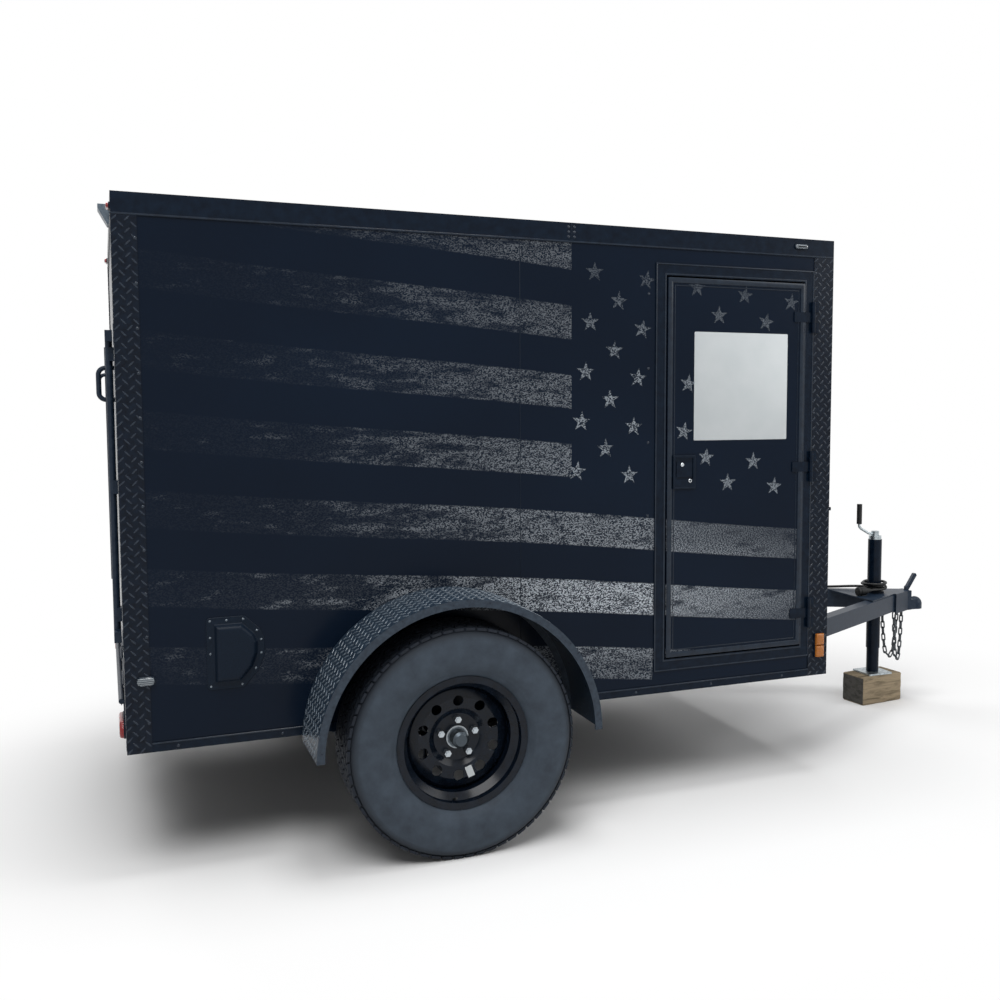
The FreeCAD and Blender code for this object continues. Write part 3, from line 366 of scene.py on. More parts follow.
# %% [markdown]
# ## Finishes
# The body is aluminium sheet under a printed vinyl wrap: a blue-black gloss with a ghosted flag in
# worn silver.  Its seven pale stripes are bands of one number, the height in the flag's own sheet,
# which falls a little towards the front.  The silver is broken into grains by a fine slanting noise,
# and rubbed away in streaks by a broad one, most of all towards the rear.

# %% Wrap of the body
STRIPE_PITCH, STRIPE_HALF = 0.229, 0.055
STRIPE_AT, STRIPE_FALL = (REAR + 1.68, 0.4865), 0.095       # a point on the lowest stripe, and its slope
CANTON_FROM, CANTON_LEVEL = REAR + 1.397, 1.117             # the field of stars has no stripes
SWAY_LONG, SWAY_TALL = 1.9, 0.006                           # length and height of a slow wave in them
PRINT_DEEP, DOOR_MARGIN = 0.0036, 0.05


def grains(tree, low, high):
    """Slanting grains about four millimetres long: a stretched noise cut between two levels."""
    slanted = place(tree, (210, 210, 380), (0, 0.75, 0))
    grain = add(tree, "TexNoise", {"Vector": slanted, "Scale": 1.0, "Detail": 1.5})
    return add(tree, "MapRange", {"Value": grain, "From Min": low, "From Max": high},
               interpolation_type="SMOOTHSTEP")


# Vinyl film is moulded plastic with a faint orange peel.  Its gloss is kept low, because the dark
# print shows any pale reflection at once.
body_wrap, tree, shader = finish("printed_vinyl_wrap", Specular_IOR_Level=0.10)
spot = add(tree, "TexCoord").outputs["Object"]
axes = add(tree, "SeparateXYZ", {0: spot})
along, aside, up = (axes.outputs[k] for k in ("X", "Y", "Z"))
fallen = add(tree, "Math", {0: along, 1: STRIPE_FALL, 2: up}, operation="MULTIPLY_ADD")
phase = add(tree, "Math", {0: along, 1: 2 * np.pi / SWAY_LONG}, operation="MULTIPLY")
sway = add(tree, "Math", {0: phase}, operation="SINE")
level = add(tree, "Math", {0: sway, 1: SWAY_TALL, 2: fallen}, operation="MULTIPLY_ADD")
start = STRIPE_AT[1] + STRIPE_FALL * STRIPE_AT[0]
level = add(tree, "Math", {0: level, 1: start}, operation="SUBTRACT")
middle = add(tree, "Math", {0: level, 1: STRIPE_PITCH / 2}, operation="PINGPONG")
stripe = add(tree, "MapRange", {"Value": middle, "From Min": STRIPE_HALF + 0.002,
                                          "From Max": STRIPE_HALF - 0.002})
far_rear = add(tree, "Math", {0: along, 1: CANTON_FROM}, operation="LESS_THAN")
below = add(tree, "Math", {0: level, 1: CANTON_LEVEL - STRIPE_AT[1]}, operation="LESS_THAN")
striped = add(tree, "Math", {0: far_rear, 1: below}, operation="MAXIMUM")
width = add(tree, "Math", {0: aside}, operation="ABSOLUTE")
outer = add(tree, "Math", {0: width, 1: HALF - PRINT_DEEP}, operation="GREATER_THAN")
# There are no stripes below the seventh, nor on the right wall under the door.
lowest = add(tree, "Math", {0: level, 1: -STRIPE_PITCH / 2}, operation="GREATER_THAN")
over_sill = add(tree, "Math", {0: up, 1: door_low[2]}, operation="GREATER_THAN")
before_door = add(tree, "Math", {0: along, 1: door_low[0] - DOOR_MARGIN}, operation="LESS_THAN")
left_wall = add(tree, "Math", {0: aside, 1: 0.0}, operation="GREATER_THAN")
covered = add(tree, "Math", {0: over_sill, 1: before_door}, operation="MAXIMUM")
covered = add(tree, "Math", {0: covered, 1: left_wall}, operation="MAXIMUM")
for mask in (outer, stripe, lowest, covered):
    striped = add(tree, "Math", {0: striped, 1: mask}, operation="MULTIPLY")
# Streaks: a broad noise lets more of the print stand as it nears the front.
streaked = place(tree, (9, 9, 34), (0, 0.65, 0))
broad = add(tree, "TexNoise", {"Vector": streaked, "Scale": 1.0, "Detail": 4.0, "Roughness": 0.65})
kept = add(tree, "MapRange", {"Value": along, "From Min": REAR + 0.35, "From Max": REAR + 1.30,
                                        "To Min": -0.02, "To Max": 0.24})
stands = add(tree, "Math", {0: broad, 1: kept}, operation="ADD")
stands = add(tree, "MapRange", {"Value": stands, "From Min": 0.52, "From Max": 0.74,
                                          "To Min": 0.12, "To Max": 1.0}, interpolation_type="SMOOTHSTEP")
silver = add(tree, "Math", {0: striped, 1: stands}, operation="MULTIPLY")
# The silver is strongest half way along and low down: it thins to the rear, over the door, and upwards.
for axis, start, end, first, last in ((along, REAR + 0.20, REAR + 1.42, 0.16, 1.0),
                                      (along, REAR + 1.70, REAR + 2.25, 1.0, 0.42),
                                      (up, 0.50, 0.68, 0.32, 1.0), (up, 0.80, 0.92, 1.0, 0.48),
                                      (up, 1.00, 1.60, 1.0, 0.50)):
    thinned = add(tree, "MapRange", {"Value": axis, "From Min": start, "From Max": end,
                                               "To Min": first, "To Max": last})
    silver = add(tree, "Math", {0: silver, 1: thinned}, operation="MULTIPLY")
speck = add(tree, "Math", {0: grains(tree, 0.49, 0.55), 1: 0.94, 2: 0.04}, operation="MULTIPLY_ADD")
silver = add(tree, "Math", {0: silver, 1: speck}, operation="MULTIPLY")
cloudy = add(tree, "TexNoise", {"Vector": spot, "Scale": 1.7, "Detail": 2.0})
ground = add(tree, "Mix", {"Factor": cloudy, "A": linear("#050F1D"), "B": linear("#0C1A2B")},
             data_type="RGBA").outputs["Result"]
printed = add(tree, "Mix", {"Factor": silver, "A": ground, "B": linear("#BCC3CA")},
              data_type="RGBA").outputs["Result"]
# The inside of the walls and of the ramp is lined with plywood, so its colour is chosen by place.
LINING_DEEP, RAMP_SKIN = 0.0395, 0.030
inside = add(tree, "Math", {0: width, 1: HALF - LINING_DEEP}, operation="LESS_THAN")
behind = add(tree, "Math", {0: along, 1: FRONT - LINING_DEEP}, operation="LESS_THAN")
ahead = add(tree, "Math", {0: along, 1: REAR + RAMP_SKIN}, operation="GREATER_THAN")
for mask in (behind, ahead):
    inside = add(tree, "Math", {0: inside, 1: mask}, operation="MULTIPLY")
veneer = add(tree, "TexNoise", {"Vector": place(tree, (3, 34, 14)), "Scale": 1.0, "Detail": 6.0,
                                          "Distortion": 0.5})
lining = add(tree, "Mix", {"Factor": veneer, "A": linear("#8F7449"), "B": linear("#C6AC7E")},
             data_type="RGBA").outputs["Result"]
lined = add(tree, "Mix", {"Factor": inside, "A": printed, "B": lining},
            data_type="RGBA").outputs["Result"]
tree.links.new(lined, shader.inputs["Base Color"])
peel = add(tree, "TexNoise", {"Vector": spot, "Scale": 26.0, "Detail": 1.0})
roughen(tree, shader, peel, 0.16, 0.27, 0.12, 0.002)

# %% [markdown]
# The remaining finishes: enamel on steel, gloss trim, zinc plate, rubber, timber, plywood and lamp
# lenses.  Each keeps its constant values on the shader and takes its variation from one noise.

# %% Enamel, trim and treadplate
def enamel(name, dark, light, low, high, scale, height, gloss=0.15):
    """Sprayed enamel: a cloudy noise mixes two near shades and roughens the gloss."""
    material, tree, shader = finish(name, Specular_IOR_Level=gloss)
    where = add(tree, "TexCoord").outputs["Object"]
    cloud = add(tree, "TexNoise", {"Vector": where, "Scale": scale, "Detail": 5.0, "Roughness": 0.6})
    tint(tree, shader, cloud, [(0.32, dark), (0.68, light)])
    roughen(tree, shader, cloud, low, high, height)
    return material


frame_enamel = enamel("black_frame_enamel", "#132031", "#25313F", 0.28, 0.46, 60, 0.15, 0.20)
spring_steel = enamel("painted_spring_steel", "#12161A", "#221F1D", 0.45, 0.65, 90, 0.3)
trim_gloss = enamel("black_gloss_trim", "#07111E", "#0E1B2A", 0.18, 0.30, 34, 0.08, 0.12)
treadplate = enamel("black_treadplate", "#060D18", "#0D1826", 0.22, 0.38, 70, 0.12, 0.15)
# Ridges and rivet heads are coloured lighter than their plate: a painted glint on them.
painted_glint_dim = enamel("treadplate_ridge_painted_glint", "#0E1928", "#27323F", 0.16, 0.30, 160, 0.2, 0.35)
# The fenders' treadplate is a lighter copy of the black treadplate, so their tops look lit: painted sheen.
fender_plate = enamel("fender_treadplate_painted_sheen", "#162230", "#2E3B48", 0.22, 0.38, 70, 0.12, 0.35)
# The fender ridges are much lighter than their plate: painted glints. The vent screws take the same colour.
painted_glint_bright = enamel("bright_ridge_painted_glint", "#3A4652", "#7A858F", 0.18, 0.34, 160, 0.2, 0.6)
moulding_gloss = enamel("black_gloss_moulding", "#0C1826", "#182635", 0.14, 0.24, 34, 0.08, 0.3)
chain_steel = enamel("weathered_chain_steel", "#20262C", "#4A525A", 0.30, 0.50, 120, 0.2, 0.6)
lamp_housing = enamel("grey_lamp_housing", "#55616C", "#6C7883", 0.30, 0.45, 120, 0.1, 0.3)
wheel_gloss = enamel("black_wheel_enamel", "#070D16", "#0F1824", 0.14, 0.26, 40, 0.06, 0.22)
lamp_plastic = enamel("black_moulded_plastic", "#0A1420", "#121E2C", 0.34, 0.48, 300, 0.2, 0.12)

# %% Zinc, chrome and roof sheet
zinc, tree, shader = finish("zinc_plated_steel", Metallic=1.0)
spangle = add(tree, "TexVoronoi", {"Vector": place(tree, (130, 130, 130)), "Scale": 1.0})
tint(tree, shader, spangle.outputs["Color"], [(0.0, "#8D969B"), (1.0, "#C9D1D4")])
roughen(tree, shader, spangle, 0.28, 0.46, 0.1)

# The hub's nuts are bright, and its grease cap inside them is dulled by road dirt.
CAP_EDGE = 0.034
hub_zinc, tree, shader = finish("zinc_plated_hub", Metallic=1.0)
centred, reach = about_axle(tree)
dirty = add(tree, "TexNoise", {"Vector": centred, "Scale": 150.0, "Detail": 3.0})
reach = add(tree, "Math", {0: dirty, 1: 0.008, 2: reach}, operation="MULTIPLY_ADD")
nuts = add(tree, "MapRange", {"Value": reach, "From Min": CAP_EDGE, "From Max": CAP_EDGE + 0.006})
tint(tree, shader, nuts, [(0.0, "#4A5157"), (1.0, "#B4BBC0")])
roughen(tree, shader, dirty, 0.28, 0.50, 0.1)

chrome, tree, shader = finish("chromed_steel", Metallic=1.0)
haze = add(tree, "TexNoise", {"Vector": place(tree, (200, 200, 200)), "Scale": 1.0})
tint(tree, shader, haze, [(0.3, "#B9C0C6"), (0.7, "#E2E6E8")])
roughen(tree, shader, haze, 0.10, 0.24, 0.05)

roof_sheet, tree, shader = finish("galvanised_roof_sheet", Metallic=1.0)
spangle = add(tree, "TexVoronoi", {"Vector": place(tree, (60, 60, 60)), "Scale": 1.0})
tint(tree, shader, spangle.outputs["Color"], [(0.0, "#868F95"), (1.0, "#A6AEB3")])
roughen(tree, shader, spangle, 0.42, 0.60, 0.1)

# %% Rubber
def rubber(name, dark, light, low, high, scale):
    """Moulded rubber: matt, with a dusty bloom where the noise is high."""
    material, tree, shader = finish(name, Specular_IOR_Level=0.35)
    where = add(tree, "TexCoord").outputs["Object"]
    dust = add(tree, "TexNoise", {"Vector": where, "Scale": scale, "Detail": 6.0, "Roughness": 0.65})
    tint(tree, shader, dust, [(0.3, dark), (0.72, light)])
    roughen(tree, shader, dust, low, high, 0.25)
    return material


tyre_rubber = rubber("tyre_rubber", "#27303A", "#3C4651", 0.60, 0.82, 16)
# The sidewall darkens towards the tread.
centred, reach = about_axle(tyre_rubber.node_tree)
shoulder = add(tyre_rubber.node_tree, "MapRange", {"Value": reach, "From Min": 0.320, "From Max": 0.352},
               interpolation_type="SMOOTHSTEP")
overlay(tyre_rubber.node_tree, shoulder, "#0E151E")
tread_rubber = rubber("tread_rubber", "#080E17", "#151E2A", 0.62, 0.85, 60)
grip_rubber = rubber("moulded_grip_rubber", "#0C0E10", "#1A1C1E", 0.5, 0.7, 120)
cable_jacket = rubber("cable_jacket", "#0B0D0F", "#17191B", 0.4, 0.55, 160)

# %% Timber and plywood
def grained(name, stops, stretch, turn, height):
    """Sawn wood: noise stretched along the grain, with finer fibres added over it."""
    material, tree, shader = finish(name, Specular_IOR_Level=0.25)
    warped = place(tree, stretch, turn)
    broad = add(tree, "TexNoise", {"Vector": warped, "Scale": 1.0, "Detail": 8.0,
                                             "Roughness": 0.62, "Distortion": 0.6})
    tint(tree, shader, broad, stops)
    roughen(tree, shader, broad, 0.7, 0.92, height)
    return material


timber = grained("weathered_softwood",
                 [(0.28, "#5E5443"), (0.45, "#8A7C66"), (0.60, "#A09077"), (0.75, "#6F6350")],
                 (6, 55, 55), (0, 0, -0.105), 0.6)
end_grain = grained("weathered_end_grain", [(0.3, "#33322F"), (0.6, "#55534F"), (0.8, "#2B2A28")],
                    (30, 30, 60), (0, 0, -0.105), 0.7)
decking = grained("plywood_painted_shade_under", [(0.3, "#9A7E54"), (0.55, "#B99E6F"), (0.75, "#A5875D")],
                  (3, 30, 30), (0, 0, 0), 0.2)
# The deck is coloured near black from its underside up to the middle of the sheet: painted shade, to deepen the
# shadow under the trailer.
tree = decking.node_tree
deck_low, deck_high = corners("floor_deck")
height = add(tree, "SeparateXYZ", {0: add(tree, "TexCoord").outputs["Object"]}).outputs["Z"]
below = add(tree, "Math", {0: height, 1: (deck_low[2] + deck_high[2]) / 2}, operation="LESS_THAN")
overlay(tree, below, "#101418")

# %% Lamp lenses and plates
def lens(name, dark, light, clear, ribs):
    """Moulded acrylic lens: fine ribs of a wave bend its gloss, and part of the light passes through."""
    material, tree, shader = finish(name, Roughness=0.12, IOR=1.49, Transmission_Weight=clear)
    rows = add(tree, "TexWave", {"Vector": place(tree, (ribs, ribs, ribs)),
                                           "Scale": 1.0}, bands_direction="Z")
    tint(tree, shader, rows.outputs["Fac"], [(0.0, dark), (1.0, light)])
    roughen(tree, shader, rows.outputs["Fac"], 0.08, 0.2, 0.5)
    return material


amber_lens = lens("amber_acrylic", "#8E4A12", "#C67C2C", 0.10, 90)
clear_lens = lens("clear_acrylic", "#3E4852", "#9AA2A8", 0.25, 60)
red_lens = lens("red_acrylic", "#7A0C10", "#B31218", 0.15, 90)
blank_panel, tree, shader = finish("blank_vinyl_panel", Specular_IOR_Level=0.35)
soft = add(tree, "TexNoise", {"Vector": place(tree, (14, 14, 14)), "Scale": 1.0})
tint(tree, shader, soft, [(0.3, "#C3C9CB"), (0.7, "#C8CDCF")])
roughen(tree, shader, soft, 0.3, 0.42, 0.03)

# The stars are the same silver print, rubbed thinner towards the roof.
star_silver, tree, shader = finish("ghost_star_print", Specular_IOR_Level=0.10)
height = add(tree, "SeparateXYZ", {0: add(tree, "TexCoord").outputs["Object"]}).outputs["Z"]
thinner = add(tree, "MapRange", {"Value": height, "From Min": 1.40, "From Max": 1.80,
                                           "To Min": 0.78, "To Max": 0.22})
grit = add(tree, "Math", {0: grains(tree, 0.44, 0.56), 1: thinner}, operation="MULTIPLY")
tint(tree, shader, grit, [(0.0, "#0B1726"), (1.0, "#9BA3AB")])
roughen(tree, shader, grit, 0.20, 0.3, 0.02)

# %% Finishes of the CAD parts
NODE_FINISHES = [
    (frame_enamel, ["side_rails", "end_rails", "crossmembers", "tongue_rail_left", "tongue_rail_right",
                    "jack_plate", "coupler", "coupler_latch", "axle_beam", "spring_hangers",
                    "axle_clamps", "rear_frame", "pull_handles", "plate_bracket", "bar_locks",
                    "lock_keepers", "ramp_hinge_leaves", "ramp_hinge_pin"]),
    (spring_steel, ["leaf_springs"]),
    (body_wrap, ["wall_left", "wall_right", "wall_front", "side_door", "ramp_door"]),
    (roof_sheet, ["roof_panel"]),
    (decking, ["floor_deck"]),
    (treadplate, ["corner_posts", "stone_guard"]),
    (fender_plate, ["fender_left", "fender_right"]),
    (trim_gloss, ["roof_band", "skirt_strips", "side_door_frame", "side_door_latch", "door_hinge_straps",
                  "door_hinge_pins", "jack_tube", "jack_leg"]),
    (wheel_gloss, ["rim_left", "rim_right"]),
    (zinc, ["jack_crank", "jack_foot"]),
    (chain_steel, ["safety_chains"]),
    (hub_zinc, ["hub_left", "hub_right"]),
    (grip_rubber, ["crank_grip", "cable_gland"]),
    (lamp_housing, ["loading_lamp"]),
]
for material, names in NODE_FINISHES:
    for node in names:
        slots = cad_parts[node].data.materials
        if len(slots):
            for index in range(len(slots)):
                slots[index] = material
        else:
            slots.append(material)
print("finishes on", sum(len(names) for _, names in NODE_FINISHES), "CAD nodes")

# %% [markdown]
# ## Light cable
# A twelve millimetre jacketed cable leaves its gland in the front wall, follows the left tongue rail
# and is coiled round the jack, with its plug on the jack's plate.  It is one NURBS curve: the run's
# points are listed, and the coil's turns go up on the inside and come down on the outside.

# %% Light cable
CABLE_RUN = [(25, 505, 520), (75, 490, 518), (140, 452, 514), (220, 404, 512), (320, 348, 511.8),
             (425, 291, 511.6), (530, 238, 511.8), (600, 206, 514.5), (655, 180, 519),
             (705, 153, 520.5), (748, 125, 524), (785, 95, 527)]
CABLE_RADIUS = 0.006
run = np.array(CABLE_RUN, float) / 1000 + (FRONT, 0, 0)
COIL_TURNS, TURN_POINTS = 3.375, 14
turn = np.arange(0, COIL_TURNS + 1e-6, 1 / TURN_POINTS)
angle = np.pi / 4 - 2 * np.pi * turn
loose = 0.0012 * np.sin(5 * turn)
radius = np.interp(turn, [0, 0.35, 1.5, 1.9, COIL_TURNS], [0.0505, 0.0430, 0.0430, 0.0560, 0.0560]) + loose
rise = np.interp(turn, [0, 0.2, 1.5, 1.9, 2.5, 3.05, COIL_TURNS - 0.08, COIL_TURNS],
                 [0.5290, 0.5300, 0.5480, 0.5590, 0.5560, 0.5460, 0.5330, 0.5320])
coil = np.stack([JACK + radius * np.cos(angle), radius * np.sin(angle), rise], 1)
plug_low, plug_high = corners("cable_plug")
plug_mid = (plug_low + plug_high) / 2
tail = np.array([(JACK - 0.022, plug_mid[1], 0.5316), (plug_high[0] - 0.012, plug_mid[1], plug_mid[2])])
route = np.concatenate([run, coil, tail])
cable_data = bpy.data.curves.new("light_cable_run", "CURVE")
cable_data.dimensions = "3D"
spline = cable_data.splines.new("NURBS")
spline.points.add(len(route) - 1)
spline.points.foreach_set("co", np.concatenate([route, np.ones((len(route), 1))], 1).ravel())
spline.order_u = 3
spline.use_endpoint_u = True
spline.resolution_u = 4
cable_data.bevel_depth = CABLE_RADIUS
cable_data.bevel_resolution = 3
cable_data.use_fill_caps = True
cable_data.materials.append(cable_jacket)
cable = present("light_cable_run", cable_data)
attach(cable, "trailer")
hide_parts("light_cable", "cable_coil")

# %% Plug on the cable
# A round trailer plug: a ribbed body, a collar and a boot, turned about the cable's line.
PLUG_PROFILE = [(0.0170, 0.000), (0.0195, 0.001), (0.0198, 0.012), (0.0180, 0.013), (0.0180, 0.015),
                (0.0198, 0.016), (0.0198, 0.034), (0.0178, 0.036), (0.0178, 0.046), (0.0160, 0.048), (0.0120, 0.060),
                (0.0090, 0.0735), (0.0070, 0.0738)]
plug_body = spun(PLUG_PROFILE, (plug_low[0] + 0.0001, plug_mid[1], plug_mid[2]), (1, 0, 0), 40)
ribs_turn = np.linspace(0, 2 * np.pi, 12, endpoint=False)
rib_across = np.stack([np.zeros(12), np.cos(ribs_turn), np.sin(ribs_turn)], 1)
rib = raised(oblong(0.0022, 0.0150), 0.0008, [(0, -0.001), (0, 0.0006), (0.0005, 0.0011)], (0, 0, 0),
             (np.array([1.0, 0, 0]), np.array([0, 1.0, 0])), count=2)
rib_side = np.cross([1.0, 0, 0], rib_across)
rib_at = np.array([plug_low[0] + 0.025, plug_mid[1], plug_mid[2]]) + 0.0188 * rib_across
ribs = scatter(rib, rib_at, -rib_side, [1.0, 0, 0])
plug = piece("cable_plug_body", [plug_body, ribs], grip_rubber,
             replaces=["cable_plug"])

# %% [markdown]
# ## Treadplate ridges
# Chequered plate is rolled between engraved rollers, which leave lens-shaped ridges that lean left
# and right by turns.  One small ridge is copied over a lattice on each plate, and bent round the fenders.

# %% Ridges of the treadplate
RIDGE_HALF, RIDGE_WIDE, RIDGE_TALL, RIDGE_PITCH = 0.0120, 0.0032, 0.0013, 0.034
ridge_turn = np.linspace(0, 2 * np.pi, 8, endpoint=False)
ridge = loft(np.array([np.stack([share * RIDGE_HALF * np.cos(ridge_turn),
                                 share ** 2 * RIDGE_WIDE * np.sin(ridge_turn), np.full(8, height)], 1)
                       for share, height in ((1.0, -0.0003), (0.86, 0.7 * RIDGE_TALL), (0.5, RIDGE_TALL))]))


def lattice(wide, tall):
    """Ridge centres on a sheet: every second point of a grid at half the pitch, leaning 45 degrees
    by column."""
    columns, rows = (int((side - 0.016) / (RIDGE_PITCH / 2)) for side in (wide, tall))
    i, j = (k.ravel() for k in np.meshgrid(np.arange(columns + 1), np.arange(rows + 1), indexing="ij"))
    keep = (i + j) % 2 == 0
    i, j = i[keep], j[keep]
    lean = np.where(i % 2 == 0, 1.0, -1.0) * np.pi / 4
    return (i - columns / 2) * RIDGE_PITCH / 2, (j - rows / 2) * RIDGE_PITCH / 2, lean


def ridges(face, at, wide, tall):
    """The ridges of one flat sheet about its centre."""
    across, up = FACES[face]
    x, z, lean = (k[:, None] for k in lattice(wide, tall))
    return scatter(ridge, np.asarray(at) + x * across + z * up, np.cos(lean) * across + np.sin(lean) * up,
                   np.cos(lean) * up - np.sin(lean) * across)


REAR_POST, FRONT_POST = 0.068, 0.084
post_mid, post_tall = (BASE + post_high[2]) / 2, post_high[2] - BASE
sheets = []
for face, side in SIDES:
    sheets.append(ridges(face, (REAR + REAR_POST / 2, side * HALF, post_mid), REAR_POST, post_tall))
    sheets.append(ridges(face, (FRONT - FRONT_POST / 2, side * HALF, post_mid), FRONT_POST, post_tall))
    sheets.append(ridges("rear", (REAR, side * (HALF - REAR_POST / 2), post_mid), REAR_POST, post_tall))
    sheets.append(ridges("front", (FRONT, side * (HALF - FRONT_POST / 2), post_mid), FRONT_POST, post_tall))
piece("post_ridges", sheets, painted_glint_dim)
guard_low, guard_high = corners("stone_guard")
GUARD_CAP = 0.012
piece("guard_ridges", [ridges("front", (FRONT, 0, (guard_low[2] + guard_high[2] - GUARD_CAP) / 2),
                              2 * (HALF - FRONT_POST), guard_high[2] - GUARD_CAP - guard_low[2])],
      painted_glint_dim)
fender_low, fender_high = corners("fender_right")
FENDER_RADIUS, FENDER_WIDE = (fender_high[0] - fender_low[0]) / 2, fender_high[1] - fender_low[1]
for side_name, side in SIDES:
    arc, over, lean = (k[:, None] for k in lattice(np.pi * FENDER_RADIUS, FENDER_WIDE - 0.012))
    turn = np.pi / 2 + arc / FENDER_RADIUS
    radial = np.concatenate([np.cos(turn), 0 * turn, np.sin(turn)], 1)
    along_arc = np.concatenate([-np.sin(turn), 0 * turn, np.cos(turn)], 1)
    level = np.array([[0.0, 1.0, 0.0]])
    at = np.array([AXLE, side * (HALF + FENDER_WIDE / 2), TYRE_RADIUS]) + FENDER_RADIUS * radial + over * level
    piece("fender_ridges_" + side_name,
          [scatter(ridge, at, np.cos(lean) * level + np.sin(lean) * along_arc,
                   np.cos(lean) * along_arc - np.sin(lean) * level)], painted_glint_bright)

# %% [markdown]
# ## Rivets and seams
# Skins are held to the posts by domed rivets about five inches apart, and one lap seam runs up each
# side.  A rivet is a tiny turned dome, so hundreds of them cost little.

# %% Rivets, splice and lap seams
RIVET_STEP, SKIN_STEP, SKIN_OUT = 0.127, 0.254, 0.003
rivet = dome(0.0048, 0.0022)


def rivets(face, points):
    """Rivet heads at points given along X (or Y) and Z on one face of the body."""
    across, up = FACES[face]
    points = np.asarray(points, float)
    side = {"right": -HALF, "left": HALF}[face]
    at = np.stack([points[:, 0], np.full(len(points), side), points[:, 1]], 1)
    return scatter(rivet, at, across, up)


def column(x, low, high, step=RIVET_STEP):
    """Points up one vertical line, evenly stepped."""
    z = np.arange(low, high, step)
    return np.stack([np.full(len(z), x), z], 1)


SPLICE, SEAM, LAST_STUD = REAR + 1.396, REAR + 1.215, REAR + 1.683
heads, skin_heads = [], []
for face in ("right", "left"):
    heads.append(rivets(face, column(REAR + 0.062, 0.466, 1.9)))
    heads.append(rivets(face, column(FRONT - 0.077, 0.60, 1.9)))
    low_row = np.arange(REAR + 0.14, FRONT - 0.1, 0.3)
    heads.append(rivets(face, np.stack([low_row, np.full(len(low_row), BASE + 0.012)], 1)))
    heads.append(rivets(face, [(SPLICE + dx, z) for dx in (-0.010, 0.010) for z in (1.944, 1.960, 1.976)]))
    skin_x = LAST_STUD if face == "right" else SEAM - 0.5
    skin_heads.append(rivets(face, column(skin_x, 0.5, 1.9, SKIN_STEP)))
# The rivet heads take the lighter ridge colour, a painted glint.
piece("trim_rivets", heads, painted_glint_dim)
skin_heads = [(points + (0, SKIN_OUT, 0) if points[0, 1] < 0 else points - (0, SKIN_OUT, 0), faces)
              for points, faces in skin_heads]
piece("skin_rivets", skin_heads, painted_glint_dim)
SEAM_EDGE = [(0, -0.0004), (0, 0.0006), (0.0005, 0.001)]
seams = []
for face, side in SIDES:
    skin = side * (HALF - SKIN_OUT)
    seams.append(raised(oblong(0.0022, post_tall - 0.03), 0.0004, SEAM_EDGE,
                        (SEAM, skin, post_mid + 0.015), face, count=2))
    seams.append(raised(oblong(0.0030, band_high[2] - band_low[2] - 0.003), 0.0004, SEAM_EDGE,
                        (SPLICE, side * HALF, (band_low[2] + band_high[2]) / 2), face, count=2))
piece("lap_seams", seams, lamp_plastic)
BAND_BEAD = [(0, -0.0005), (0, 0.0008), (0.0008, 0.0016), (0.0016, 0.0016)]
beads = []
for face, side in SIDES:
    for height in (band_low[2] + 0.004, BASE + 0.0255):
        long = FRONT - REAR - 0.002 if height > 1 else FRONT - REAR - REAR_POST - FRONT_POST
        start = 0 if height > 1 else (REAR_POST - FRONT_POST) / 2
        at = ((REAR + FRONT) / 2 + start, side * HALF, height)
        beads.append(raised(oblong(long, 0.005), 0.001, BAND_BEAD, at, face, count=2))
for face, x in (("front", FRONT), ("rear", REAR)):
    at = (x, 0, band_low[2] + 0.004)
    beads.append(raised(oblong(2 * HALF - 0.002, 0.005), 0.001, BAND_BEAD, at, face, count=2))
piece("band_beads", beads, moulding_gloss)

# %% [markdown]
# ## Side door
# The slab has a rolled moulding round its edge, a flat frame round the opening with a bead along each
# side, and a flush latch.  Each moulding is an outline carried round a small closed profile.

# %% Door mouldings and latch
door_mid = (door_low + door_high) / 2
door_wide, door_tall = door_high[0] - door_low[0], door_high[2] - door_low[2]
DOOR_MOULDING = [(0.0006, -0.001), (0.0006, 0.0026), (0.0035, 0.0040), (0.0150, 0.0040), (0.0185, 0.0022),
                 (0.0195, -0.001)]
PANEL_BEAD = [(0.026, -0.001), (0.026, 0.0010), (0.0272, 0.0016), (0.0285, 0.0010), (0.0285, -0.001)]
door_face = (door_mid[0], -HALF, door_mid[2])
piece("door_moulding",
      [raised(oblong(door_wide, door_tall), radius, profile, door_face, "right", ring=True)
       for radius, profile in ((0.006, DOOR_MOULDING), (0.030, PANEL_BEAD))],
      moulding_gloss, "side_door")
opening_low, opening_high = corners("side_door_frame")
opening = (opening_low + opening_high) / 2
FRAME_BEADS = [[(0.001, -0.001), (0.001, 0.0018), (0.003, 0.0026), (0.005, 0.0018), (0.0062, -0.001)],
               [(0.034, -0.001), (0.0345, 0.0016), (0.037, 0.0022), (0.0395, 0.0016), (0.040, -0.001)]]
opening_edge = oblong(opening_high[0] - opening_low[0], opening_high[2] - opening_low[2])
piece("door_frame_beads",
      [raised(opening_edge, 0.003, profile, (opening[0], -HALF, opening[2]), "right", ring=True)
       for profile in FRAME_BEADS], moulding_gloss)
latch_low, latch_high = corners("side_door_latch")
latch_wide, latch_tall = latch_high[0] - latch_low[0], latch_high[2] - latch_low[2]
LOCK_PROFILE = [(0.0068, -0.003), (0.0068, 0.0012), (0.0058, 0.0022), (0.0040, 0.0020), (0.0036, 0.0014)]


def lock_dot(x_share, z_share):
    """A turned lock face on the latch, placed by its share of the latch's width and height."""
    at = (latch_low[0] + x_share * latch_wide, -HALF - 0.0045, latch_low[2] + z_share * latch_tall)
    return spun(LOCK_PROFILE, at, (0, -1, 0), 20)


